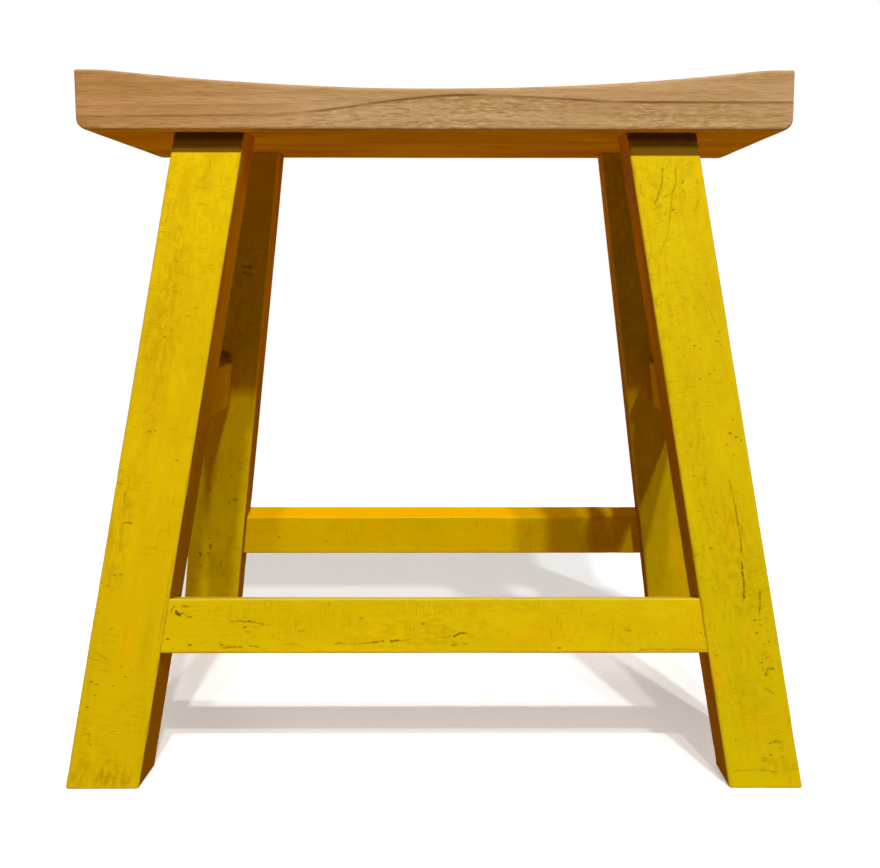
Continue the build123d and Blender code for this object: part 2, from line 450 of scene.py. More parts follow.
class WornPiece:
    """A sawn piece, skinned ring by ring from end to end, its faces not quite flat."""

    name: str
    waviness: float
    CORNER_SIGNS = ((1, 1), (-1, 1), (-1, -1), (1, -1))
    CORNERS = range(len(CORNER_SIGNS))
    CORNER_STEPS = 6
    END_CAP = (0.02, 0.3, 0.6, 0.85)

    def ring(self, mesh: RingMesh, station: float, shrink: float = 1.0) -> None:
        """Adds one ring to the mesh: each kind of piece has its own."""
        raise NotImplementedError

    def skin(self, stations: Sequence[float]) -> bpy.types.Object:
        """Joins rings into a mesh object, its ends closed by smaller and smaller ones.

        Args:
            stations: places of the rings along the piece.

        Returns:
            The new object.
        """
        mesh = RingMesh(self.name)
        for shrink in self.END_CAP:
            self.ring(mesh, stations[0], shrink)
        for station in stations:
            self.ring(mesh, station)
        for shrink in reversed(self.END_CAP):
            self.ring(mesh, stations[-1], shrink)
        return mesh.build()

    def hollow(self, spot: Vector, shrink: float) -> float:
        """How far a face stands back from true: nothing where the ring closes an end."""
        return self.waviness * (0.5 + 0.5 * noise.noise(spot)) if shrink == 1.0 else 0.0

    def section(self, half: float, low: float, high: float, radii: Sequence[float], rubs: Sequence[float],
                side_steps: tuple[int, int]) -> list[tuple[float, float, float, float, float]]:
        """A rectangle whose corners each have their own radius, as points all the way round.

        Args:
            half: half its width.
            low: its lower side.
            high: its upper side.
            radii: the corners' radii.
            rubs: how rubbed each corner is.
            side_steps: steps along the upper and lower sides, and along the two others.

        Returns:
            For each point its place, its outward direction, and how rubbed it is.
        """

        def arc_point(corner: int, turn: float) -> tuple[float, float]:
            """Finds the point of a corner's arc that faces a direction.

            Args:
                corner: the corner's number.
                turn: the direction, in radians.

            Returns:
                The point.
            """
            (sign_a, sign_b), radius = self.CORNER_SIGNS[corner], radii[corner]
            a = sign_a * (half - radius) + cos(turn) * radius
            return a, (high - radius if sign_b > 0 else low + radius) + sin(turn) * radius

        points = []
        for corner, rub in enumerate(rubs):
            for step in range(self.CORNER_STEPS):
                turn = corner * pi / 2 + step / (self.CORNER_STEPS - 1) * pi / 2
                points.append((*arc_point(corner, turn), cos(turn), sin(turn), rub))
            turn = (corner + 1) * pi / 2
            a0, b0 = arc_point(corner, turn)
            a1, b1 = arc_point((corner + 1) % len(radii), turn)
            steps = side_steps[corner % 2]
            for step in range(1, steps):
                share = 0.5 - 0.5 * cos(pi * step / steps)
                points.append((a0 + (a1 - a0) * share, b0 + (b1 - b0) * share, cos(turn), sin(turn), 0.0))
        return points

    @staticmethod
    def glaze_and_shade(mesh: bpy.types.Mesh, glazed_and_shaded: Callable[[bpy.types.MeshPolygon, Vector], bool]) -> None:
        """Gives the second material to some faces.

        Args:
            mesh: the piece's mesh, which carries place.
            glazed_and_shaded: a test of a face and the place of one of its corners, which all have to pass.
        """
        places = [item.vector for item in mesh.attributes["place"].data]
        for polygon in mesh.polygons:
            if all(glazed_and_shaded(polygon, places[index]) for index in polygon.vertices):
                polygon.material_index = 1


@dataclass(frozen=True)
class BarFrame:
    """Where a bar lies: its centre line, its section, and the two planes that cut it off.

    across, out and along are unit vectors. low and high are (point, normal) of the cutting planes.
    """

    origin: Vector
    across: Vector
    out: Vector
    along: Vector
    width: float
    depth: float
    low: tuple[Vector, Vector]
    high: tuple[Vector, Vector]

    def at(self, a: float, b: float, s: float) -> Vector:
        """The point at a across, b out and s along."""
        return self.origin + self.across * a + self.out * b + self.along * s

    def reach(self, a: float, b: float, plane: tuple[Vector, Vector]) -> float:
        """How far along the bar the line through (a, b) of its section meets a plane."""
        point, normal = plane
        return (point - self.at(a, b, 0.0)).dot(normal) / self.along.dot(normal)


@dataclass
class WornBar(WornPiece):
    """A sawn bar with softened, nicked edges.

    mirror holds the signs that carry it from the front left to its own corner. scarred is 1 if its outer
    face carries the scars, -1 if the face behind that does. glazed_and_shaded tells whether the side
    towards the middle of the stool has the second finish, a glaze that is partly painted shade.
    """

    name: str
    place: BarFrame
    edge_round: float
    foot_round: float = 0.0
    mirror: tuple[int, int] = (1, 1)
    seed: int = 1
    scarred: int = 1
    scars: Scars = Scars()
    glazed_and_shaded: bool = False
    nicks_per_edge: int = 5
    nick_depth: float = 0.0011
    rubbing: Rubbing = Rubbing(0.0011, (21.0, 7.3, 3.1), (95.0, 5.9, 1.7), 0.45, 0.6, 0.4)
    waviness: float = 0.00022
    ring_pitch: float = 0.0018
    side_steps: int = 15
    mark_reach: float = 0.005

    SHOWN_DEPTH = 0.001
    MARKED_DEPTH = 0.0008
    GLAZED_AND_SHADED_DEPTH = 0.00001
    NICK_REACH = (0.002, 0.009)
    NICK_SHARE = (0.3, 1.0)
    FOOT_STATIONS = (0.08, 0.3, 0.6, 1.0)
    NO_MARK = ((0.0, 1.0, 0.0), (0.0, 0.001, 0.0))

    def __post_init__(self) -> None:
        """Finds the ends and draws the nicks of the four long edges."""
        dice = random.Random(self.seed)
        self.start = self.place.reach(0.0, 0.0, self.place.low)
        end = self.place.reach(0.0, 0.0, self.place.high)
        self.length = end - self.start
        self.nicks = [
            Nick(corner, dice.uniform(0.0, end), dice.uniform(*self.NICK_REACH),
                 dice.uniform(*self.NICK_SHARE) * self.nick_depth)
            for corner in self.CORNERS
            for _ in range(self.nicks_per_edge)
        ]

    def wear(self, corner: int, s: float) -> float:
        """Radius that use has added to a long edge, at a place along it."""
        bites = sum(nick.bite(s) for nick in self.nicks if nick.corner == corner)
        return self.rubbing.at(s, corner, self.seed) + bites

    def ring(self, mesh: RingMesh, station: float, shrink: float = 1.0) -> None:
        """Adds one ring to the mesh.

        Args:
            mesh: the mesh that takes it.
            station: distance of the ring from the low cut.
            shrink: scale of the section, under 1 where the ring closes an end.
        """
        mesh.rings.append([])
        place, share = self.place, station / self.length
        inset = quarter_round(station, self.foot_round)
        worn = [self.wear(corner, self.start + self.length * share) for corner in self.CORNERS]
        half_out = place.depth / 2 - inset
        drift = Vector((self.seed * 1.37, self.seed * 0.83, self.seed * 2.11))
        for a, b, na, nb, rub in self.section(
            place.width / 2 - inset, -half_out, half_out, [self.edge_round + extra for extra in worn],
            [extra / self.rubbing.depth for extra in worn], (self.side_steps, self.side_steps),
        ):
            a, b = a * shrink, b * shrink
            low, high = place.reach(a, b, place.low), place.reach(a, b, place.high)
            s = low + (high - low) * share
            back = self.hollow(Vector((a * 30.0, b * 30.0, s * 16.0)) + drift, shrink)
            point = place.at(a - na * back, b - nb * back, s)
            gaps = [place.width / 2 - abs(a), place.depth / 2 - abs(b)] + [s - low] * bool(self.foot_round)
            shown = b * self.scarred > place.depth / 2 - self.SHOWN_DEPTH
            mesh.add_point(
                Vector((point.x * self.mirror[0], point.y * self.mirror[1], point.z)),
                {
                    "edge_gap": second_smallest(gaps),
                    "end_gap": min(s - low, high - s),
                    "rub": rub,
                    "pits": Scars.cover(self.scars.pits, a, s) if shown else 0.0,
                    "soil": Scars.cover(self.scars.soil, a, s) if shown else 0.0,
                },
                {"place": Vector((a, b, s)), "grain": Vector((a, b, s)) + drift},
            )

    def build(self) -> bpy.types.Object:
        """Builds the bar's mesh object.

        Returns:
            The new object.
        """
        steps = max(int(self.length / self.ring_pitch), 2)
        stations = [0.0] + [self.foot_round * share for share in self.FOOT_STATIONS if self.foot_round]
        evenly = [self.length * step / steps for step in range(1, steps + 1)]
        thing = self.skin(stations + [s for s in evenly if s > 1.2 * self.foot_round])
        self.lay_marks(thing.data)
        if self.glazed_and_shaded:
            reach = self.place.width / 2 - self.GLAZED_AND_SHADED_DEPTH
            self.glaze_and_shade(thing.data, lambda face, place: place.x >= reach)
        return thing

    def lay_marks(self, mesh: bpy.types.Mesh) -> None:
        """Tells each face near a mark where the mark runs, so that its material can draw it sharp.

        Each corner of such a face carries mark_line, its distances along and beside the nearest run, and
        mark_form, the run's half length, half width and strength.

        Args:
            mesh: the bar's mesh, which carries place.
        """
        runs = self.scars.runs()
        places = [item.vector for item in mesh.attributes["place"].data]
        lines, forms = ([row] * len(mesh.loops) for row in self.NO_MARK)
        face = self.place.depth / 2 - self.MARKED_DEPTH
        for polygon in mesh.polygons if runs else ():
            spots = [places[index] for index in polygon.vertices]
            if len(spots) != 4 or min(spot.y * self.scarred for spot in spots) < face:
                continue
            a, s = (sum(spot[axis] for spot in spots) / 4 for axis in (0, 2))
            nearest = min(runs, key=lambda run: run.gap(a, s))
            if nearest.gap(a, s) > self.mark_reach:
                continue
            for loop in polygon.loop_indices:
                spot = places[mesh.loops[loop].vertex_index]
                lines[loop] = (*nearest.offset(spot.x, spot.z), 0.0)
                forms[loop] = (nearest.half_length, nearest.half_width, nearest.strength)
        for name, rows in (("mark_line", lines), ("mark_form", forms)):
            flat = [value for row in rows for value in row]
            mesh.attributes.new(name, "FLOAT_VECTOR", "CORNER").data.foreach_set("vector", flat)


@dataclass
class SeatPlank(WornPiece):
    """The seat: one plank, dished along its length, with its ends rounded below."""

    sizes: StoolSizes
    name: str = "seat_plank"
    seed: int = 5
    ring_pitch: float = 0.002
    rubbing: Rubbing = Rubbing(0.0009, (14.0, 6.1, 2.3), (70.0, 3.7, 1.1), 0.4, 0.7, 0.5)
    waviness: float = 0.00025
    side_steps: tuple[int, int] = (46, 14)

    GLAZED_AND_SHADED_DEPTH = 0.0013
    FACES_DOWN = -0.3
    FROM_END = (0.0, 0.0001, 0.0004, 0.0009, 0.0015, 0.0022, 0.003, 0.004, 0.0052, 0.0066, 0.008)

    def __post_init__(self) -> None:
        """Works out the arcs of the saddle."""
        s = self.sizes
        self.half_length = s.seat_length / 2
        self.top = s.underside_height + s.seat_end_thickness
        half_hollow = self.half_length - s.saddle_land
        self.arc_radius = (half_hollow**2 + s.saddle_dip**2) / (2 * s.saddle_dip)
        self.arc_centre = self.top - s.saddle_dip + self.arc_radius
        reach = self.arc_radius + s.saddle_blend_radius
        self.blend_centre = self.top - s.saddle_blend_radius
        self.blend_start = sqrt(reach**2 - (self.arc_centre - self.blend_centre) ** 2)
        self.arc_end = self.blend_start * self.arc_radius / reach

    def saddle(self, x: float) -> float:
        """Height of the dished top.

        Args:
            x: metres from the middle of the seat.

        Returns:
            Metres above the floor.
        """
        away = abs(x)
        if away <= self.arc_end:
            return self.arc_centre - sqrt(self.arc_radius**2 - away**2)
        if away < self.blend_start:
            rise = sqrt(self.sizes.saddle_blend_radius**2 - (self.blend_start - away) ** 2)
            return self.blend_centre + rise
        return self.top

    def ring(self, mesh: RingMesh, station: float, shrink: float = 1.0) -> None:
        """Adds one ring to the mesh.

        Args:
            mesh: the mesh that takes it.
            station: its place along the seat.
            shrink: scale of the section, under 1 where the ring closes an end.
        """
        mesh.rings.append([])
        s = self.sizes
        from_end = self.half_length - abs(station)
        half = s.seat_depth / 2 - quarter_round(from_end, s.seat_edge_round)
        bottom = s.underside_height + quarter_round(from_end, s.end_bottom_round)
        top = self.saddle(station) - quarter_round(from_end, s.end_top_round)
        middle = (bottom + top) / 2
        worn = [self.rubbing.at(station, corner, self.seed) for corner in self.CORNERS]
        radii = [min(s.seat_edge_round + extra, (top - bottom) / 2, from_end + 0.0005) for extra in worn]
        rubs = [extra / self.rubbing.depth for extra in worn]
        drift = Vector((self.seed * 0.7, self.seed * 1.9, self.seed * 0.4))
        for y, z, ny, nz, rub in self.section(half, bottom, top, radii, rubs, self.side_steps):
            y, z = y * shrink, middle + (z - middle) * shrink
            back = self.hollow(Vector((station * 9.0, y * 24.0, z * 24.0)) + drift, shrink)
            from_face = min(z - s.underside_height, self.saddle(station) - z)
            gaps = (s.seat_depth / 2 - abs(y), from_face, from_end)
            mesh.add_point(
                Vector((station, y - ny * back, z - nz * back)),
                {"edge_gap": second_smallest(gaps), "end_gap": from_end, "rub": rub},
                {"place": Vector((y, z, station)), "grain": Vector((y, z, station)) + drift},
            )

    def build(self) -> bpy.types.Object:
        """Builds the plank's mesh object.

        Returns:
            The new object.
        """
        inner = self.half_length - self.FROM_END[-1]
        steps = int(2 * inner / self.ring_pitch)
        stations = [-self.half_length + d for d in self.FROM_END]
        stations += [-inner + 2 * inner * k / steps for k in range(1, steps)]
        stations += [self.half_length - d for d in reversed(self.FROM_END)]
        thing = self.skin(stations)
        reach = self.sizes.underside_height + self.GLAZED_AND_SHADED_DEPTH
        self.glaze_and_shade(thing.data, lambda face, place: face.normal.z < self.FACES_DOWN and place.y < reach)
        return thing


# Node sheets and shared effects


@dataclass(frozen=True)
class Band:
    """Where an effect comes in: it eases from start at low to stop at high."""

    low: float
    high: float
    start: float = 0.0
    stop: float = 1.0


@dataclass(frozen=True)
class Figure:
    """A noise in the wood, and the band of its values in which it shows.

    stretch is its pace along the wood: the less, the more drawn out it is.
    """

    scale: float
    stretch: float
    band: Band
    detail: float = 3.0
    roughness: float = 0.55


class NodeSketch:
    """Places nodes in one tree and links them in few words."""

    def __init__(self, tree: bpy.types.NodeTree) -> None:
        """Takes the tree that the nodes go into."""
        self.tree = tree

    def put(self, kind: str, **settings: object) -> bpy.types.Node:
        """Adds a node.

        Args:
            kind: its type.
            settings: its properties.

        Returns:
            The node.
        """
        node = self.tree.nodes.new(kind)
        for key, value in settings.items():
            setattr(node, key, value)
        return node

    def feed(self, target: Socket, source: Feed) -> None:
        """Links a socket to a source, or writes a plain value on it.

        Args:
            target: the socket.
            source: where its value comes from, or the value.
        """
        if isinstance(source, bpy.types.NodeSocket):
            self.tree.links.new(source, target)
        else:
            target.default_value = source

    def fed(self, node: bpy.types.Node, *sources: Feed, output: Union[int, str] = 0) -> Socket:
        """Feeds a node's first inputs, in order, and gives one of its outputs.

        Args:
            node: the node.
            sources: what its inputs take.
            output: number or name of the output.

        Returns:
            The output.
        """
        for socket, source in zip(node.inputs, sources):
            self.feed(socket, source)
        return node.outputs[output]

    def math(self, operation: str, first: Feed, second: Feed = 0.0, third: Feed = 0.0) -> Socket:
        """A Math node's result."""
        return self.fed(self.put("ShaderNodeMath", operation=operation), first, second, third)

    def times(self, first: Feed, *others: Feed) -> Socket:
        """The product of all that it is given."""
        return self.times(self.math("MULTIPLY", first, others[0]), *others[1:]) if others else first

    def vector(self, operation: str, first: Feed, second: Feed = ORIGIN, output: str = "Vector") -> Socket:
        """A Vector Math node's vector, or its number if output is Value."""
        return self.fed(self.put("ShaderNodeVectorMath", operation=operation), first, second, output=output)

    def drawn(self, place: Feed, stretch: float) -> Socket:
        """A place drawn out along the wood."""
        return self.vector("MULTIPLY", place, (1.0, 1.0, stretch))

    def parts(self, vector: Feed) -> Sequence[Socket]:
        """Parts a vector.

        Args:
            vector: the vector.

        Returns:
            Its three numbers.
        """
        node = self.put("ShaderNodeSeparateXYZ")
        self.feed(node.inputs[0], vector)
        return tuple(node.outputs)

    def join(self, *parts: Feed) -> Socket:
        """A vector from its three numbers."""
        return self.fed(self.put("ShaderNodeCombineXYZ"), *parts)

    def ramp(self, value: Feed, low: Feed, high: Feed, start: Feed = 0.0, stop: Feed = 1.0) -> Socket:
        """Eases from start at low to stop at high."""
        node = self.put("ShaderNodeMapRange", interpolation_type="SMOOTHSTEP", clamp=True)
        return self.fed(node, value, low, high, start, stop)

    def ease(self, value: Feed, band: Band) -> Socket:
        """The ramp of a band."""
        return self.ramp(value, band.low, band.high, band.start, band.stop)

    def mix(self, share: Feed, first: Feed, second: Feed, blend: str = "MIX") -> Socket:
        """Mixes two colours.

        Args:
            share: how much of the second shows.
            first: the colour below.
            second: the colour above.
            blend: the way of mixing.

        Returns:
            The mixed colour.
        """
        node = self.put("ShaderNodeMix", data_type="RGBA", blend_type=blend)
        for index, source in zip((0, 6, 7), (share, first, second)):
            self.feed(node.inputs[index], source)
        return node.outputs[2]

    def blend(self, share: Feed, first: Socket, second: Socket) -> Socket:
        """Mixes two shaders."""
        return self.fed(self.put("ShaderNodeMixShader"), share, first, second)

    def noise(self, place: Feed, scale: Feed, detail: float = 3.0, roughness: float = 0.55) -> Socket:
        """A noise texture's value.

        Args:
            place: where it is read.
            scale: how fine it is.
            detail: its layers of finer noise.
            roughness: how strong these are.

        Returns:
            The value, about 0 to 1.
        """
        node = self.put("ShaderNodeTexNoise", noise_dimensions="3D")
        names = ("Vector", "Scale", "Detail", "Roughness")
        for name, source in zip(names, (place, scale, detail, roughness)):
            self.feed(node.inputs[name], source)
        return node.outputs["Fac"]

    def figure(self, figure: Figure, place: Feed) -> Socket:
        """How strongly a figure of the wood shows at a place."""
        place = place if figure.stretch == 1.0 else self.drawn(place, figure.stretch)
        return self.ease(self.noise(place, figure.scale, figure.detail, figure.roughness), figure.band)

    def cells(self, place: Feed, scale: Feed) -> bpy.types.Node:
        """Adds a Voronoi texture.

        Args:
            place: where it is read.
            scale: how small its cells are.

        Returns:
            Its node.
        """
        node = self.put("ShaderNodeTexVoronoi", feature="F1", voronoi_dimensions="3D")
        self.feed(node.inputs["Vector"], place)
        self.feed(node.inputs["Scale"], scale)
        return node

    def attribute(self, name: str, output: str = "Fac") -> Socket:
        """A number that the mesh carries, or a vector if output is Vector."""
        node = self.put("ShaderNodeAttribute", attribute_type="GEOMETRY", attribute_name=name)
        return node.outputs[output]

    def use(self, tree: bpy.types.NodeTree, **inputs: Feed) -> bpy.types.NodeOutputs:
        """Places a shared effect.

        Args:
            tree: the effect.
            inputs: its inputs, with _ for each space of a name.

        Returns:
            Its outputs.
        """
        node = self.put("ShaderNodeGroup", node_tree=tree)
        for key, source in inputs.items():
            self.feed(node.inputs[key.replace("_", " ")], source)
        return node.outputs


class SocketKind(Enum):
    """Kinds of socket on a shared effect."""

    NUMBER = "NodeSocketFloat"
    PLACE = "NodeSocketVector"


class SharedEffects:
    """Effects that more than one finish uses, each built once as a node group."""

    PORE = Band(0.3, 0.12)
    CHIPPED = Band(1.0, 1.7)
    MARK_KEPT = Figure(330.0, 1.0, Band(0.36, 0.5, 0.3, 1.0), 2.0)
    SPECK = Band(0.48, 0.12)
    DASH = Band(0.56, 0.72)
    DASH_SCALE = (90.0, 90.0, 900.0)
    SAWN_PARTS = Figure(30.0, 1.0, Band(0.4, 0.6), 2.0)

    def __init__(self) -> None:
        """Builds every effect."""
        self.grain = self._grain()
        self.edge_wear = self._edge_wear()
        self.mark = self._mark()
        self.specks = self._specks()
        self.saw_marks = self._saw_marks()

    @staticmethod
    def _open(name: str, inputs: dict[str, Feed], *outputs: str) -> tuple:
        """Starts a node group.

        Args:
            name: the group's name.
            inputs: default of each input, a number or a place.
            outputs: names of the outputs, which are numbers.

        Returns:
            A sketch on the group, the sockets that it is given and the sockets of its result.
        """
        tree = bpy.data.node_groups.new(name, "ShaderNodeTree")
        for key, default in inputs.items():
            kind = SocketKind.PLACE if isinstance(default, tuple) else SocketKind.NUMBER
            socket = tree.interface.new_socket(key, in_out="INPUT", socket_type=kind.value)
            socket.default_value = default
        for key in outputs:
            tree.interface.new_socket(key, in_out="OUTPUT", socket_type=SocketKind.NUMBER.value)
        n = NodeSketch(tree)
        return n, n.put("NodeGroupInput").outputs, n.put("NodeGroupOutput").inputs

    @staticmethod
    def _shake(n: NodeSketch, place: Socket, *noise_values: float) -> Socket:
        """A noise about zero."""
        return n.math("SUBTRACT", n.noise(place, *noise_values), 0.5)

    def _grain(self) -> bpy.types.NodeTree:
        """Long fibres, broader streaks and open pores that run along the piece.

        Returns:
            The node group.
        """
        n, given, result = self._open(
            "long_grain", {"Place": ORIGIN, "Pitch": 800.0, "Stretch": 0.03}, "Fibre", "Streak", "Pore"
        )
        sway = n.times(self._shake(n, given["Place"], 9.0, 2.0), 0.006)
        swayed = n.vector("ADD", given["Place"], n.join(sway, sway))
        long = n.vector("MULTIPLY", swayed, n.join(1.0, 1.0, given["Stretch"]))
        n.feed(result["Fibre"], n.noise(long, given["Pitch"], 4.0, 0.62))
        n.feed(result["Streak"], n.noise(long, n.times(given["Pitch"], 0.16), 3.0, 0.55))
        pore = n.cells(long, n.times(given["Pitch"], 0.9))
        n.feed(result["Pore"], n.ease(pore.outputs["Distance"], self.PORE))
        return n.tree

    def _edge_wear(self) -> bpy.types.NodeTree:
        """Where an edge is rubbed: near the edge, ragged, and more where the mesh says so.

        Returns:
            The node group.
        """
        n, given, result = self._open(
            "edge_wear", {"Edge Gap": 0.01, "Rub": 0.0, "Place": ORIGIN, "Width": 0.0012, "Ragged": 0.5},
            "Line", "Bare",
        )
        rough = self._shake(n, given["Place"], 260.0, 4.0, 0.65)
        reach = n.times(given["Width"], n.math("MULTIPLY_ADD", rough, given["Ragged"], 1.0))
        line = n.ramp(given["Edge Gap"], reach, 0.0)
        n.feed(result["Line"], line)
        worn = n.math("ADD", given["Rub"], n.times(rough, 1.6))
        n.feed(result["Bare"], n.times(line, n.ease(worn, self.CHIPPED)))
        return n.tree

    def _mark(self) -> bpy.types.NodeTree:
        """The marks that the mesh lays out, with ragged sides.

        Returns:
            The node group.
        """
        n, given, result = self._open("mark", {"Line": ORIGIN, "Form": ORIGIN, "Place": ORIGIN}, "Mask")
        along, aside, _ = n.parts(given["Line"])
        half_length, half_width, strength = n.parts(given["Form"])
        shake = self._shake(n, given["Place"], 700.0, 3.0)
        sway = self._shake(n, given["Place"], 150.0, 2.0)
        beside = n.math("MULTIPLY_ADD", shake, 0.0014, n.math("MULTIPLY_ADD", sway, 0.0022, aside))
        beyond = n.math("MAXIMUM", n.math("SUBTRACT", n.math("ABSOLUTE", along), half_length), 0.0)
        away = n.math("SQRT", n.math("ADD", n.times(beyond, beyond), n.times(beside, beside)))
        thick = n.times(half_width, n.math("MULTIPLY_ADD", shake, 1.6, 1.0))
        mask = n.ramp(away, n.times(thick, 1.5), n.times(thick, 0.5))
        n.feed(result["Mask"], n.times(mask, n.figure(self.MARK_KEPT, given["Place"]), strength))
        return n.tree

    def _specks(self) -> bpy.types.NodeTree:
        """Small scattered pits, as many as Amount says.

        Returns:
            The node group.
        """
        n, given, result = self._open("specks", {"Place": ORIGIN, "Scale": 300.0, "Amount": 0.1}, "Mask")
        cell = n.cells(given["Place"], given["Scale"])
        picked = n.put("ShaderNodeSeparateColor")
        chosen = n.math("LESS_THAN", n.fed(picked, cell.outputs["Color"]), given["Amount"])
        weight = n.math("MULTIPLY_ADD", picked.outputs[1], 0.6, 0.4)
        n.feed(result["Mask"], n.times(n.ease(cell.outputs["Distance"], self.SPECK), chosen, weight))
        return n.tree

    def _saw_marks(self) -> bpy.types.NodeTree:
        """Fine ripples that a saw left across the piece, here strong and there faint.

        Returns:
            The node group.
        """
        n, given, result = self._open("saw_marks", {"Place": ORIGIN, "Spacing": 0.0022}, "Ripple", "Dash")
        across, _, along = n.parts(given["Place"])
        drift = n.times(n.noise(given["Place"], 40.0, 2.0), 0.004)
        slanted = n.math("ADD", n.math("ADD", along, drift), n.times(across, 0.05))
        turn = n.math("DIVIDE", n.times(slanted, 2.0 * pi), given["Spacing"])
        wave = n.math("MULTIPLY_ADD", n.math("SINE", turn), 0.5, 0.5)
        dash = n.noise(n.vector("MULTIPLY", given["Place"], self.DASH_SCALE), 1.0, 3.0, 0.6)
        patch = n.figure(self.SAWN_PARTS, given["Place"])
        n.feed(result["Ripple"], n.times(wave, patch))
        n.feed(result["Dash"], n.times(n.ease(dash, self.DASH), patch))
        return n.tree


# Finishes


class Dressing:
    """A material under way: its place in the piece and in the wood, and the colour laid so far."""

    FIBRES = (0.3, 0.75)
    RELIEF = 0.00025

    def __init__(self, name: str, ground: Colour, shared: SharedEffects) -> None:
        """Starts the material.

        Args:
            name: its name.
            ground: its ground colour.
            shared: the shared effects.
        """
        self.material = bpy.data.materials.new(name)
        self.material.use_nodes = True
        self.shared = shared
        self.n = NodeSketch(self.material.node_tree)
        self.place = self.n.parts(self.n.attribute("place", "Vector"))
        self.wood = self.n.attribute("grain", "Vector")
        self.colour: Feed = linear(ground)

    def grain(self, pitch: float, stretch: float) -> bpy.types.NodeOutputs:
        """The long grain."""
        return self.n.use(self.shared.grain, Place=self.wood, Pitch=pitch, Stretch=stretch)

    def wear(self, width: float, ragged: float) -> bpy.types.NodeOutputs:
        """Places the edge wear.

        Args:
            width: how far it reaches in from an edge, in metres.
            ragged: how uneven its border is.

        Returns:
            Its outputs.
        """
        gap, rub = (self.n.attribute(name) for name in ("edge_gap", "rub"))
        sizes = {"Place": self.wood, "Width": width, "Ragged": ragged}
        return self.n.use(self.shared.edge_wear, Edge_Gap=gap, Rub=rub, **sizes)

    def lay(self, share: Feed, colour: Union[Colour, Socket], blend: str = "MIX") -> None:
        """Lays a colour over the last.

        Args:
            share: how much of it shows.
            colour: the colour.
            blend: the way of mixing.
        """
        above = colour if isinstance(colour, bpy.types.NodeSocket) else linear(colour)
        self.colour = self.n.mix(share, self.colour, above, blend)

    def draw(self, figure: Figure, colour: Colour, *shares: Feed) -> None:
        """Lays a colour where a figure of the wood shows, thinned by the shares."""
        self.lay(self.n.times(self.n.figure(figure, self.wood), *shares), colour)

    def roughness(self, fibre: Socket, smoothest: float, roughest: float) -> Socket:
        """Roughness that follows the fibres."""
        return self.n.ramp(fibre, *self.FIBRES, smoothest, roughest)

    def finish(self, gloss: float, roughness: Socket, height: Socket, strength: float,
               relief: float = RELIEF) -> Material:
        """Feeds the shader.

        Args:
            gloss: the specular level.
            roughness: the roughness.
            height: the height of the relief, about 0 to 1.
            strength: how strongly the relief shows.
            relief: metres that a height of 1 stands for.

        Returns:
            The material.
        """
        surface = self.material.node_tree.nodes["Principled BSDF"]
        self.n.feed(surface.inputs["Base Color"], self.colour)
        surface.inputs["Specular IOR Level"].default_value = gloss
        self.n.feed(surface.inputs["Roughness"], roughness)
        bump = self.n.put("ShaderNodeBump")
        bump.inputs["Distance"].default_value = relief
        bump.inputs["Strength"].default_value = strength
        self.n.feed(bump.inputs["Height"], height)
        self.n.feed(surface.inputs["Normal"], bump.outputs[0])
        return self.material


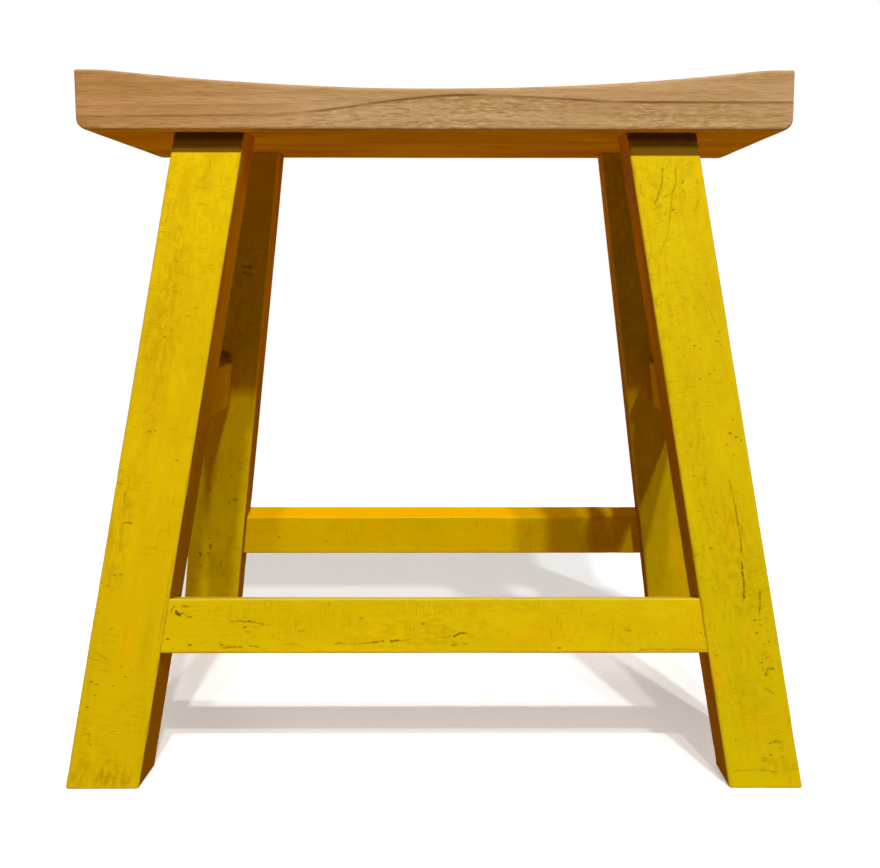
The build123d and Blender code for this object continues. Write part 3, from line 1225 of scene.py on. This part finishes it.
@dataclass(frozen=True)
class PaintFinish:
    """Thin yellow paint over wood: mottled, sawn below, rubbed at the edges, with old scars, and with
    painted light and shade: a lighter or darker top, a darker foot, the seat's shadow under it.
    """

    name: str = "yellow_paint"
    paint: Colour = (0.915, 0.765, 0.0)
    # Painted light: the top of a leg lighter, or darker where it stands in shade
    top_light_and_shade: Colour = (0.985, 0.83, 0.0)
    deep: Colour = (0.885, 0.73, 0.0)
    amber: Colour = (0.90, 0.69, 0.0)
    thin: Colour = (0.85, 0.72, 0.0)
    # Painted shade towards the foot
    foot: Colour = (0.805, 0.694, 0.0)
    olive: Colour = (0.68, 0.56, 0.0)
    dirt: Colour = (0.62, 0.47, 0.01)
    # Painted shade right under the seat, at the tops of the legs
    under_seat_shade: Colour = (0.36, 0.22, 0.02)
    # Rubbed paint and a painted highlight on the inner and upper edges
    pale_edge_and_highlight: Colour = (0.98, 0.86, 0.30)
    amber_edge: Colour = (0.86, 0.60, 0.02)
    scar: Colour = (0.30, 0.22, 0.02)
    wood: Colour = (0.62, 0.45, 0.20)
    # Painted shadow of the seat's overhang on the legs' outer faces
    seat_shadow: Colour = (0.462, 0.329, 0.005)
    upper: Colour = (0.96, 0.68, 0.0)
    mottled: float = 0.38
    roughness: float = 0.56
    gloss: float = 0.03
    pit_squash: tuple[float, float, float] = (0.55, 1.0, 1.1)
    upper_share: float = 0.0
    upper_from: float = 0.0163
    # How strong and how high the painted shade towards the foot is
    foot_shade_share: float = 0.9
    foot_shade_top: float = 0.22
    # Height of the lower edge of the seat's painted shadow
    seat_shadow_height: float = 0.4053

    SAWN_SHADE, DASH_SHADE = 0.12, 0.45
    EDGE_SHADE, BARE_SHADE, SCAR_SHADE = 0.85, 0.6, 0.85
    FIBRE_RELIEF, SAWN_RELIEF, SCAR_RELIEF, RELIEF = 0.3, 0.25, 1.3, 0.55
    # Noises in the coat
    CLOUDS = Figure(30.0, 0.35, Band(0.35, 0.65))
    AMBER_CLOUDS = Figure(55.0, 0.35, Band(0.5, 0.72, 0.0, 0.5))
    AMBER_STREAKS = Figure(260.0, 0.12, Band(0.55, 0.75, 0.0, 0.45), 3.0, 0.6)
    THIN_BLOTCHES = Figure(190.0, 0.6, Band(0.42, 0.62, 0.0, 0.4), 4.0, 0.7)
    MOTTLE = Figure(330.0, 0.4, Band(0.5, 0.72), 5.0, 0.7)
    MOTTLED_PARTS = Figure(16.0, 1.0, Band(0.4, 0.62, 0.25, 1.0), 2.0)
    UPPER_STREAKS = Figure(90.0, 0.35, Band(0.35, 0.65, 0.55, 1.0))
    BROKEN_GAP = Figure(300.0, 0.35, Band(0.35, 0.62, 0.05, 0.32))
    BLOT = Figure(330.0, 0.35, Band(0.38, 0.66))
    STRAY_PITS = Figure(17.0, 1.0, Band(0.5, 0.8, 0.004, 0.03), 2.0)
    OLIVE_STREAKS = Band(0.55, 0.8, 0.0, 0.25)
    # Bands along the bar, across it and through it, and of the height above the floor
    SAWN = Band(0.30, 0.12, 0.12, 1.0)
    # Painted light and shade at the top of a leg
    TOP_LIGHTING = Band(0.24, 0.42, 0.0, 0.9)
    END_GAP = Band(0.0011, 0.0002)
    EDGE_SIDE = Band(-0.001, 0.001)
    OUTER_FACE = Band(0.0170, 0.0185)
    # Painted shadow of the seat, and painted shade right under it, by height above the floor
    SEAT_SHADOW_FADE = Band(0.4088, 0.4105, 1.0, 0.4)
    UNDER_SEAT_SHADE = Band(0.4115, 0.4160, 0.0, 0.8)

    def build(self, shared: SharedEffects) -> Material:
        """Makes the material.

        Args:
            shared: the shared effects.

        Returns:
            The material.
        """
        coat = Dressing(self.name, self.deep, shared)
        n = coat.n
        grain = coat.grain(900.0, 0.06)
        saw = n.use(shared.saw_marks, Place=coat.wood, Spacing=0.0021)
        sawn = n.times(saw["Ripple"], n.ease(coat.place[2], self.SAWN))
        self._brush(coat)
        coat.lay(n.ease(grain["Streak"], self.OLIVE_STREAKS), self.olive)
        coat.lay(n.times(sawn, self.SAWN_SHADE), self.olive)
        coat.lay(n.times(saw["Dash"], self.DASH_SHADE), self.dirt)
        self._rub_edges(coat)
        scars = self._scars(coat)
        coat.lay(n.times(scars, self.SCAR_SHADE), self.scar)
        coat.draw(self.BROKEN_GAP, self.scar, n.ease(n.attribute("end_gap"), self.END_GAP))
        coat.draw(self.BLOT, self.dirt, n.attribute("soil"))
        # Painted shadow and painted shade under the seat
        self._paint_seat_shadow(coat)
        rough = coat.roughness(grain["Fibre"], self.roughness - 0.07, self.roughness + 0.1)
        height = n.math("MULTIPLY_ADD", sawn, self.SAWN_RELIEF, n.times(grain["Fibre"], self.FIBRE_RELIEF))
        height = n.math("SUBTRACT", height, n.times(scars, self.SCAR_RELIEF))
        return coat.finish(self.gloss, n.math("MULTIPLY_ADD", scars, 0.2, rough), height, self.RELIEF)

    def _brush(self, coat: Dressing) -> None:
        """Lays the coat's colours, thick and thin places and mottling, and painted light along the bar: a
        lighter or darker top, and painted shade towards the foot.

        Args:
            coat: the material under way.
        """
        n, along = coat.n, coat.place[2]
        coat.draw(self.CLOUDS, self.paint)
        # Painted light: a lighter top, or painted shade: a darker top
        coat.lay(n.ease(along, self.TOP_LIGHTING), self.top_light_and_shade)
        # Painted shade, darker towards the foot
        if self.foot_shade_share:
            coat.lay(n.ramp(along, self.foot_shade_top, 0.0, 0.0, self.foot_shade_share), self.foot)
        coat.draw(self.AMBER_CLOUDS, self.amber)
        coat.draw(self.AMBER_STREAKS, self.amber)
        coat.draw(self.THIN_BLOTCHES, self.thin)
        coat.draw(self.MOTTLE, self.olive, n.figure(self.MOTTLED_PARTS, coat.wood), self.mottled)

    def _rub_edges(self, coat: Dressing) -> None:
        """Lays rubbed edges: pale on the inner and upper ones, partly a painted highlight, amber on the
        rest, bare where chipped.

        A rail whose upper edge stands free also has its own colour there.

        Args:
            coat: the material under way.
        """
        n, across = coat.n, coat.place[0]
        wear = coat.wear(0.0011, 0.9)
        # Pale inner and upper edges: rubbed paint and a painted highlight
        tint = n.mix(n.ease(across, self.EDGE_SIDE), linear(self.amber_edge), linear(self.pale_edge_and_highlight))
        coat.lay(n.times(wear["Line"], self.EDGE_SHADE), tint)
        coat.lay(n.times(wear["Bare"], self.BARE_SHADE), self.wood)
        if self.upper_share:
            top = n.ramp(across, self.upper_from, self.upper_from + 0.001, 0.0, self.upper_share)
            coat.draw(self.UPPER_STREAKS, self.upper, top)

    def _paint_seat_shadow(self, coat: Dressing) -> None:
        """Lays painted shade on a leg's outer face close under the seat: a painted shadow of the seat's
        overhang, darker still right under the seat.

        Args:
            coat: the material under way.
        """
        n = coat.n
        height = n.parts(n.put("ShaderNodeTexCoord").outputs["Object"])[2]
        outer = n.ease(coat.place[1], self.OUTER_FACE)
        seat_shadow_edge = n.ramp(height, self.seat_shadow_height, self.seat_shadow_height + 0.0008)
        # Painted shadow of the seat: an olive band with a sharp lower edge
        coat.lay(n.times(outer, seat_shadow_edge, n.ease(height, self.SEAT_SHADOW_FADE)), self.seat_shadow)
        # Painted shade right under the seat
        coat.lay(n.times(outer, n.ease(height, self.UNDER_SEAT_SHADE)), self.under_seat_shade)

    def _scars(self, coat: Dressing) -> Socket:
        """Pits, scratches and cracks.

        Args:
            coat: the material under way.

        Returns:
            How deep the paint is broken, 0 to 1.
        """
        n = coat.n
        amount = n.math("MULTIPLY_ADD", n.attribute("pits"), 0.45, n.figure(self.STRAY_PITS, coat.wood))
        squashed = n.vector("MULTIPLY", coat.wood, self.pit_squash)
        pits = n.use(coat.shared.specks, Place=squashed, Scale=520.0, Amount=amount)
        line, form = (n.attribute(name, "Vector") for name in ("mark_line", "mark_form"))
        mark = n.use(coat.shared.mark, Line=line, Form=form, Place=coat.wood)
        return n.math("MAXIMUM", pits["Mask"], mark["Mask"])


@dataclass(frozen=True)
class GlazeAndShadeFinish:
    """Amber glaze on the inner sides of the legs and the seat's underside; its tone, darker and more orange
    than the paint, is partly painted shade.
    """

    name: str = "amber_glaze_and_shade"
    # Darker and more orange than the paint: partly painted shade
    amber: Colour = (0.92, 0.66, 0.0)
    brown: Colour = (0.80, 0.55, 0.0)
    yellow: Colour = (0.93, 0.74, 0.0)
    lower: Colour = (0.66, 0.50, 0.0)
    blush: Colour = (0.80, 0.60, 0.38)
    scar: Colour = (0.30, 0.19, 0.02)
    fade: float = 0.85
    roughness: float = 0.85

    FADE = (0.36, 0.14)
    CLOUDS = Figure(26.0, 0.3, Band(0.35, 0.65))
    YELLOW_CLOUDS = Figure(60.0, 0.3, Band(0.55, 0.75, 0.0, 0.7))
    BLUSHES = Figure(34.0, 0.15, Band(0.62, 0.72, 0.0, 0.7), 2.0)
    BROWN_STREAKS = Band(0.5, 0.75, 0.0, 0.5)
    END_GAP = Band(0.0011, 0.0002, 0.0, 0.35)

    def build(self, shared: SharedEffects) -> Material:
        """Makes the material.

        Args:
            shared: the shared effects.

        Returns:
            The material.
        """
        coat = Dressing(self.name, self.brown, shared)
        n = coat.n
        grain = coat.grain(700.0, 0.05)
        coat.draw(self.CLOUDS, self.amber)
        coat.draw(self.YELLOW_CLOUDS, self.yellow)
        if self.fade:
            # Darker and browner towards the bottom
            coat.lay(n.ramp(coat.place[2], *self.FADE, 0.0, self.fade), self.lower)
        coat.lay(n.ease(grain["Streak"], self.BROWN_STREAKS), self.brown)
        coat.draw(self.BLUSHES, self.blush)
        pits = n.use(shared.specks, Place=coat.wood, Scale=480.0, Amount=0.02)["Mask"]
        coat.lay(n.times(pits, 0.7), self.scar)
        coat.lay(n.ease(n.attribute("end_gap"), self.END_GAP), self.scar)
        rough = coat.roughness(grain["Fibre"], self.roughness - 0.08, self.roughness + 0.08)
        return coat.finish(0.0, rough, n.math("SUBTRACT", grain["Fibre"], pits), 0.5)


@dataclass(frozen=True)
class SeatWoodFinish:
    """Light brown hardwood with a clear matt oil: growth rings, long fibres and open pores."""

    name: str = "seat_wood"
    light: Colour = (0.865, 0.70, 0.49)
    middle: Colour = (0.803, 0.636, 0.41)
    dark: Colour = (0.68, 0.485, 0.262)
    line: Colour = (0.46, 0.30, 0.145)
    pink: Colour = (0.865, 0.685, 0.50)
    stain: Colour = (0.50, 0.46, 0.20)
    fleck: Colour = (0.93, 0.77, 0.57)
    # Warmer and slightly darker at the left end: partly the wood's own tone, partly painted shade
    left_tone_and_shade: Colour = (0.975, 0.915, 0.83)
    ring_spacing: float = 0.0075
    ring_rise: float = 1.5
    line_width: float = 0.0012
    front_from_heart: float = 0.1255
    heart_from_middle: float = 0.02
    roughness: float = 0.6
    gloss: float = 0.12

    # Noises in the wood
    BLUSHES = Figure(140.0, 0.14, Band(0.5, 0.66, 0.0, 0.6), 4.0)
    FLECKED_PARTS = Figure(26.0, 1.0, Band(0.36, 0.62, 0.25, 1.0), 2.0)
    BROKEN_LINE = Figure(160.0, 0.15, Band(0.3, 0.6, 0.4, 0.85), 2.0)
    SMUDGES = Figure(60.0, 1.0, Band(0.45, 0.65, 0.0, 0.45))
    LIGHT_STREAKS = Band(0.35, 0.68)
    FLAMES = Band(0.5, 0.68, 0.0, 0.4)
    PALE_FLECKS = Band(0.50, 0.68, 0.0, 0.85)
    DARK_FLECKS = Band(0.48, 0.32, 0.0, 0.7)
    FIBRES = Band(0.48, 0.66, 0.0, 0.45)
    # Shares of one growth ring
    LATE_WOOD = Band(0.45, 0.93)
    RING_END = Band(1.0, 0.94)
    # Distances above the bold growth line
    FIGURED = Band(0.001, -0.001, 0.45, 1.0)
    FLECKED = Band(0.0005, -0.0015, 0.25, 1.0)
    # Places along the seat, and what they give
    FLECKED_ALONG = Band(-0.15, -0.04, 0.2, 1.0)
    BOLD_ALONG = Band(-0.12, 0.0, 0.6, 1.0)
    LEFT_TONE_AND_SHADE_ALONG = Band(-0.05, -0.20)
    LINE_RISE = Band(-0.115, 0.022, 0.4290, 0.4418)
    LINE_LIFT = Band(-0.235, -0.10, -0.0012, 0.0)
    LINE_DIP = Band(0.022, 0.140, 0.0, 0.0043)
    # The front face's upper corners, where the smudges are
    CORNER_ALONG = Band(0.14, 0.19)
    CORNER_HEIGHT = Band(0.449, 0.4555)
    CORNER_DEPTH = Band(-0.1030, -0.1045)

    def build(self, shared: SharedEffects) -> Material:
        """Makes the material.

        Args:
            shared: the shared effects.

        Returns:
            The material.
        """
        coat = Dressing(self.name, self.middle, shared)
        n = coat.n
        depth, height, along = coat.place
        fine, coarse = coat.grain(1500.0, 0.04), coat.grain(800.0, 0.075)
        rings = self._rings(coat)
        wrapped = n.math("FRACT", n.math("DIVIDE", rings, self.ring_spacing))
        late = n.times(n.ease(wrapped, self.LATE_WOOD), n.ease(wrapped, self.RING_END))
        figured = n.ease(rings, self.FIGURED)
        coat.lay(n.ease(coarse["Streak"], self.LIGHT_STREAKS), self.light)
        coat.lay(n.times(late, 0.3), self.dark)
        coat.draw(self.BLUSHES, self.pink)
        coat.lay(n.times(n.ease(coarse["Fibre"], self.FLAMES), figured), self.dark)
        short = n.noise(n.drawn(coat.wood, 0.26), 540.0, 3.0, 0.6)
        below = n.times(n.ease(rings, self.FLECKED), n.ease(along, self.FLECKED_ALONG),
                        n.figure(self.FLECKED_PARTS, coat.wood))
        coat.lay(n.times(n.ease(short, self.PALE_FLECKS), below), self.fleck)
        coat.lay(n.times(n.ease(short, self.DARK_FLECKS), below), self.dark)
        coat.lay(n.ease(fine["Fibre"], self.FIBRES), self.dark)
        prominent = n.ramp(n.math("ABSOLUTE", rings), self.line_width, self.line_width * 0.2)
        coat.draw(self.BROKEN_LINE, self.line, n.ease(along, self.BOLD_ALONG), prominent)
        pores = n.times(fine["Pore"], figured, 0.6)
        coat.lay(pores, self.line)
        # Left end warmer and slightly darker: partly the wood's own tone, partly painted shade
        coat.lay(n.ease(along, self.LEFT_TONE_AND_SHADE_ALONG), self.left_tone_and_shade, "MULTIPLY")
        corner = n.times(n.ease(n.math("ABSOLUTE", along), self.CORNER_ALONG),
                         n.ease(height, self.CORNER_HEIGHT), n.ease(depth, self.CORNER_DEPTH))
        coat.draw(self.SMUDGES, self.stain, corner)
        coat.lay(n.times(coat.wear(0.0016, 0.8)["Line"], 0.3), self.light)
        rough = coat.roughness(fine["Fibre"], self.roughness - 0.06, self.roughness + 0.1)
        relief = n.math("MULTIPLY_ADD", fine["Fibre"], 0.6, n.times(pores, -0.8))
        relief = n.math("MULTIPLY_ADD", late, 0.25, relief)
        return coat.finish(self.gloss, rough, relief, 0.6, 0.0002)

    def _rings(self, coat: Dressing) -> Socket:
        """Measures from the plank's boldest growth line, which rises and dips along the seat.

        Args:
            coat: the material under way.

        Returns:
            Distance above the line.
        """
        n = coat.n
        depth, height, along = coat.place
        line = n.math("SUBTRACT", n.ease(along, self.LINE_RISE), n.ease(along, self.LINE_DIP))
        line = n.math("ADD", line, n.ease(along, self.LINE_LIFT))
        back = n.math("SUBTRACT", depth, self.heart_from_middle)
        arc = n.math("SUBTRACT", n.times(back, back), self.front_from_heart**2)
        wobble = n.times(n.math("SUBTRACT", n.noise(n.drawn(coat.wood, 0.2), 30.0, 2.0), 0.5), 0.0016)
        above = n.math("SUBTRACT", n.math("SUBTRACT", height, line), n.times(arc, self.ring_rise))
        return n.math("ADD", above, wobble)


# Sub-assemblies


class Corner(Enum):
    """Corners of the stool, with the signs that mirror a front left piece there."""

    FRONT_LEFT = (1, 1)
    FRONT_RIGHT = (-1, 1)
    BACK_LEFT = (1, -1)
    BACK_RIGHT = (-1, -1)


def hand_over(piece: bpy.types.Object, node: str, slot: str, *materials: Material) -> None:
    """Dresses a piece and lets it stand for its CAD node.

    Args:
        piece: the new piece.
        node: the CAD node that it replaces.
        slot: the record's material slot; not used.
        materials: its finishes, in the order that its faces number them.
    """
    for material in materials:
        piece.data.materials.append(material)
    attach(piece, "root")
    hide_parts(node)
    low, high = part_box(node)
    points = [vertex.co for vertex in piece.data.vertices]
    span = [max(p[k] for p in points) - min(p[k] for p in points) for k in range(3)]
    log.info("%s for %s: %d points, spans %s of %s mm", piece.name, node, len(points),
             [round(v * 1000, 1) for v in span], [round(v * 1000, 1) for v in high - low])


@dataclass
class LegSet:
    """The four legs, each a worn bar that leans to its own corner."""

    sizes: StoolSizes
    seed: int = 11

    SCARS = {
        Corner.FRONT_LEFT: LEFT_LEG_SCARS,
        Corner.FRONT_RIGHT: RIGHT_LEG_SCARS,
        Corner.BACK_LEFT: BACK_LEG_SCARS,
    }

    def frame(self) -> BarFrame:
        """Lays out the front left leg.

        Returns:
            Its place.
        """
        s = self.sizes
        slope = s.slope_in_frame
        stretch = hypot(1.0, slope)
        along = (SIDEWAYS * slope + s.front_up) / stretch
        across = (SIDEWAYS - s.front_up * slope) / stretch
        outer_foot = Vector((-s.half_spread_at_floor, -s.front_at_floor, 0.0))
        origin = outer_foot + SIDEWAYS * (s.leg_level_width / 2) - s.front_normal * (s.leg_thickness / 2)
        cuts = (Vector(ORIGIN), LEVEL), (LEVEL * s.underside_height, LEVEL)
        return BarFrame(origin, across, s.front_normal, along, s.leg_width, s.leg_thickness, *cuts)

    def build(self, coats: dict[Corner, Material], glaze_and_shade: Material) -> None:
        """Builds and dresses the legs.

        Args:
            coats: the paint of each.
            glaze_and_shade: the finish of their sides towards the middle, a glaze that is partly painted
                shade.
        """
        for index, corner in enumerate(Corner):
            node = f"{corner.name.lower()}_leg"
            scars = self.SCARS.get(corner, Scars())
            bar = WornBar(
                f"{node}_bar", self.frame(), self.sizes.leg_edge_round, self.sizes.foot_round, corner.value,
                self.seed + index, corner.value[1], scars, glazed_and_shaded=True,
            )
            # The sides towards the middle take the glaze, partly painted shade
            hand_over(bar.build(), node, "yellow_paint", coats[corner], glaze_and_shade)


@dataclass
class StretcherSet:
    """The four stretchers: low ones at front and back, high ones at the sides."""

    sizes: StoolSizes
    seed: int = 31
    rubbing: Rubbing = replace(WornBar.rubbing, depth=0.0007)

    def low_frame(self) -> BarFrame:
        """Lays out the front stretcher: flush with the legs' faces, cut to their inner sides.

        Returns:
            Its place.
        """
        s = self.sizes
        up_middle = s.low_rail_top / cos(s.splay_to_front) - s.low_rail_height / 2
        foot = Vector((0.0, -s.front_at_floor, 0.0))
        origin = foot + s.front_up * up_middle - s.front_normal * (s.rail_thickness / 2)
        inner = SIDEWAYS * (s.half_spread_at_floor - s.leg_level_width)
        rise = s.front_up * s.slope_in_frame
        cuts = (foot - inner, SIDEWAYS - rise), (foot + inner, SIDEWAYS + rise)
        section = s.low_rail_height, s.rail_thickness
        return BarFrame(origin, s.front_up, s.front_normal, SIDEWAYS, *section, *cuts)

    def side_frame(self) -> BarFrame:
        """Lays out the left side stretcher: just inside the legs' outer edges.

        Returns:
            Its place.
        """
        s = self.sizes
        lean = s.splay_to_side
        out = Vector((-cos(lean), 0.0, sin(lean)))
        up = Vector((sin(lean), 0.0, cos(lean)))
        edge = s.half_spread_at_floor - s.leg_thickness * sin(s.splay_to_front) * s.side_slope
        foot = Vector((s.side_rail_reveal - edge, 0.0, 0.0))
        up_middle = s.side_rail_top / cos(lean) - s.side_rail_height / 2
        origin = foot + up * up_middle - out * (s.rail_thickness / 2)
        face = Vector((0.0, -s.front_at_floor, 0.0)) - s.front_normal * s.leg_thickness
        front = face, s.front_normal
        back = tuple(Vector((0.0, -v.y, v.z)) for v in front)
        section = s.side_rail_height, s.rail_thickness
        return BarFrame(origin, up, out, Vector((0.0, 1.0, 0.0)), *section, front, back)

    def build(self, front: Material, back: Material, sides: Material) -> None:
        """Builds and dresses the stretchers.

        Args:
            front: the paint of the front one.
            back: the paint of the back one.
            sides: the paint of the ones at the sides.
        """
        low, side = self.low_frame(), self.side_frame()
        plan = (
            ("front_stretcher", low, (1, 1), front, RAIL_SCARS),
            ("back_stretcher", low, (1, -1), back, Scars()),
            ("left_side_stretcher", side, (1, 1), sides, Scars()),
            ("right_side_stretcher", side, (-1, 1), sides, Scars()),
        )
        for index, (node, place, mirror, paint, scars) in enumerate(plan):
            bar = WornBar(
                f"{node}_bar", place, self.sizes.rail_edge_round, 0.0, mirror, self.seed + index, 1, scars,
                nicks_per_edge=3, nick_depth=0.0006, rubbing=self.rubbing, side_steps=10,
            )
            hand_over(bar.build(), node, "yellow_paint", paint)


@dataclass(frozen=True)
class Lamp:
    """A far lamp: degrees to the right of the front, degrees above the stool, strength, angle in degrees.

    The strength, 0 to 1, is the brightness of a white card that faces it.
    """

    name: str
    azimuth: float
    elevation: float
    strength: float
    spread: float = 1.8


@dataclass(frozen=True)
class Panel:
    """A broad warm panel beside the stool: its middle, and its strength, told as a lamp's is."""

    name: str
    at: tuple[float, float, float]
    strength: float


@dataclass
class Studio:
    """Floor, lamps, world and camera."""

    camera_at: tuple[float, float, float] = (0.01981, -0.94146, 0.33046)
    yaw: float = 0.00547
    pitch: float = 0.13311
    roll: float = -0.00079
    photo_width: float = 880.0
    focal_pixels: float = 1247.28
    centre_pixel: float = 472.05
    sensor: float = 36.0
    clip: tuple[float, float] = (0.02, 60.0)
    lamps: tuple[Lamp, ...] = (
        Lamp("near_lamp", 2.0, 47.5, 0.227),
        Lamp("middle_lamp", 10.5, 47.0, 0.454),
        Lamp("far_lamp", 17.0, 42.8, 0.346),
        Lamp("back_lamp", 183.0, 32.0, 0.30, 24.0),
    )
    panels: tuple[Panel, ...] = (
        Panel("right_panel", (1.3, 0.7, 0.30), 0.16),
        Panel("left_panel", (-1.4, 0.3, 0.30), 0.20),
    )
    panel_size: float = 0.9
    panel_tint: tuple[float, float, float] = (1.0, 0.62, 0.35)
    panel_aim: tuple[float, float, float] = (0.0, 0.0, 0.25)
    fill: float = 0.03
    fill_tint: tuple[float, float, float, float] = (1.0, 0.78, 0.60, 1.0)
    near_bounce: tuple[float, float, float, float] = (0.47, 0.265, 0.13, 1.0)
    far_bounce: tuple[float, float, float, float] = (0.06, 0.04, 0.026, 1.0)
    bounce_centre: tuple[float, float, float] = (0.0, 0.25, 0.0)
    bounce_band: Band = Band(0.45, 1.1)
    floor_radius: float = 12.0
    floor_colour: Colour = (0.94, 0.94, 0.94)
    floor_glow: float = 0.36
    floor_fade: Band = Band(0.45, 1.6)

    def camera(self) -> None:
        """Sets the camera where the photographer stood."""
        data = bpy.data.cameras.new("view")
        data.sensor_width = self.sensor
        data.lens = self.focal_pixels * self.sensor / self.photo_width
        data.shift_x = (self.photo_width / 2 - self.centre_pixel) / self.photo_width
        data.clip_start, data.clip_end = self.clip
        flat = cos(self.pitch)
        forward = Vector((sin(self.yaw) * flat, cos(self.yaw) * flat, -sin(self.pitch)))
        level = Vector((cos(self.yaw), -sin(self.yaw), 0.0))
        down = forward.cross(level)
        right = level * cos(self.roll) + down * sin(self.roll)
        up = level * sin(self.roll) - down * cos(self.roll)
        turn = Matrix((right, up, -forward)).transposed().to_4x4()
        place = link("view", data)
        place.matrix_world = Matrix.Translation(self.camera_at) @ turn
        bpy.context.scene.camera = place

    def light(self, lamp: Lamp) -> None:
        """Adds a far lamp.

        Args:
            lamp: the lamp.
        """
        data = bpy.data.lights.new(lamp.name, "SUN")
        data.energy = lamp.strength * pi
        data.angle = radians(lamp.spread)
        az, el = radians(lamp.azimuth), radians(lamp.elevation)
        towards = Vector((sin(az) * cos(el), -cos(az) * cos(el), sin(el)))
        link(lamp.name, data).rotation_euler = towards.to_track_quat("Z", "Y").to_euler()

    def face(self, panel: Panel) -> None:
        """Adds a broad panel and turns it to the stool.

        Args:
            panel: the panel.
        """
        data = bpy.data.lights.new(panel.name, "AREA")
        away = Vector(panel.at) - Vector(self.panel_aim)
        data.size = self.panel_size
        data.color = self.panel_tint
        data.energy = panel.strength * pi * pi * away.length_squared
        place = link(panel.name, data)
        place.location = panel.at
        place.rotation_euler = away.to_track_quat("Z", "Y").to_euler()
        place.visible_camera = False

    def world(self) -> None:
        """Soft light from all round, and white where the camera or a gloss looks past the floor."""
        world = bpy.data.worlds.new("studio")
        bpy.context.scene.world = world
        world.use_nodes = True
        world.node_tree.nodes.clear()
        n = NodeSketch(world.node_tree)
        fill = n.fed(n.put("ShaderNodeBackground"), self.fill_tint, self.fill)
        white = n.fed(n.put("ShaderNodeBackground"), WHITE, 1.0)
        n.feed(n.put("ShaderNodeOutputWorld").inputs[0], n.blend(self._seen(n), fill, white))

    @staticmethod
    def _seen(n: NodeSketch) -> Socket:
        """1 for camera, glossy and transmission rays."""
        path = n.put("ShaderNodeLightPath").outputs
        return n.math("MAXIMUM", n.math("MAXIMUM", path["Is Camera Ray"], path["Is Glossy Ray"]),
                      path["Is Transmission Ray"])

    def floor(self) -> None:
        """A wide pale floor that keeps the stool's shadow and fades to white far from it."""
        mesh = bpy.data.meshes.new("floor")
        sheet = bmesh.new()
        bmesh.ops.create_circle(sheet, cap_ends=True, segments=96, radius=self.floor_radius)
        sheet.to_mesh(mesh)
        sheet.free()
        link("floor", mesh)
        material = bpy.data.materials.new("floor")
        material.use_nodes = True
        mesh.materials.append(material)
        n = NodeSketch(material.node_tree)
        pale = material.node_tree.nodes["Principled BSDF"]
        pale.inputs["Base Color"].default_value = linear(self.floor_colour)
        pale.inputs["Roughness"].default_value = 0.9
        pale.inputs["Emission Color"].default_value = WHITE
        pale.inputs["Emission Strength"].default_value = self.floor_glow
        spot = n.put("ShaderNodeNewGeometry").outputs["Position"]
        away = n.vector("LENGTH", spot, output="Value")
        white = n.put("ShaderNodeEmission").outputs[0]
        seen = n.blend(n.ease(away, self.floor_fade), pale.outputs[0], white)
        beyond = n.vector("DISTANCE", spot, self.bounce_centre, "Value")
        warmth = n.mix(n.ease(beyond, self.bounce_band), self.near_bounce, self.far_bounce)
        bounce = n.fed(n.put("ShaderNodeBsdfDiffuse"), warmth)
        n.feed(material.node_tree.nodes["Material Output"].inputs[0], n.blend(self._seen(n), bounce, seen))

    def build(self) -> None:
        """Builds the whole studio."""
        bpy.context.scene.view_settings.view_transform = "Standard"
        self.camera()
        self.world()
        self.floor()
        for lamp in self.lamps:
            self.light(lamp)
        for panel in self.panels:
            self.face(panel)


def main() -> None:
    """Builds the stool's looks and the studio around it."""
    logging.basicConfig(level=logging.INFO, format="%(name)s: %(message)s")
    sizes = StoolSizes()
    Studio().build()
    shared = SharedEffects()
    # The seat's underside: the glaze, partly painted shade
    underside = GlazeAndShadeFinish(
        "underside_glaze_and_shade", amber=(0.93, 0.74, 0.0), brown=(0.86, 0.63, 0.0), yellow=(0.95, 0.79, 0.0),
        fade=0.0,
    )
    seat = SeatPlank(sizes).build()
    hand_over(seat, "seat", "seat_wood", SeatWoodFinish().build(shared), underside.build(shared))
    greener = PaintFinish(
        "yellow_paint_greener",
        # Painted light: a lighter top and a darker foot
        paint=(0.905, 0.785, 0.0), top_light_and_shade=(0.95, 0.825, 0.0), deep=(0.87, 0.75, 0.0),
        # The seat's painted shadow reaches lower on this leg
        foot=(0.795, 0.72, 0.0), seat_shadow_height=0.4034, foot_shade_top=0.30, mottled=0.6,
    )
    # Back left leg: its top darker, a painted shade under the seat
    shaded_top_paint = PaintFinish(
        "yellow_paint_shaded_top",
        paint=(0.90, 0.81, 0.0), top_light_and_shade=(0.78, 0.66, 0.0), deep=(0.87, 0.775, 0.0),
        foot_shade_share=0.0,
    )
    # Back right leg: a darker copy of the paint, darker again at the top: painted shade
    shaded_paint = PaintFinish(
        "yellow_paint_shaded", paint=(0.765, 0.675, 0.0), top_light_and_shade=(0.68, 0.60, 0.0), deep=(0.74, 0.65, 0.0),
        foot_shade_share=0.0,
    )
    paints = (PaintFinish(), greener, shaded_top_paint, shaded_paint)
    coats = {corner: paint.build(shared) for corner, paint in zip(Corner, paints)}
    # The legs' inner sides: the glaze, partly painted shade
    LegSet(sizes).build(coats, GlazeAndShadeFinish().build(shared))
    rails = PaintFinish(
        "yellow_paint_rails", paint=(0.885, 0.765, 0.0), deep=(0.85, 0.73, 0.0), foot_shade_share=0.0,
        pit_squash=(1.0, 1.0, 0.5),
    )
    back_rail = replace(rails, name="yellow_paint_back_rail", upper_share=0.9, gloss=0.0)
    matt = replace(
        rails, name="yellow_paint_matt", paint=(0.87, 0.73, 0.0), deep=(0.83, 0.69, 0.0), gloss=0.0
    )
    StretcherSet(sizes).build(*(finish.build(shared) for finish in (rails, back_rail, matt)))


if __name__ == "__main__":
    main()
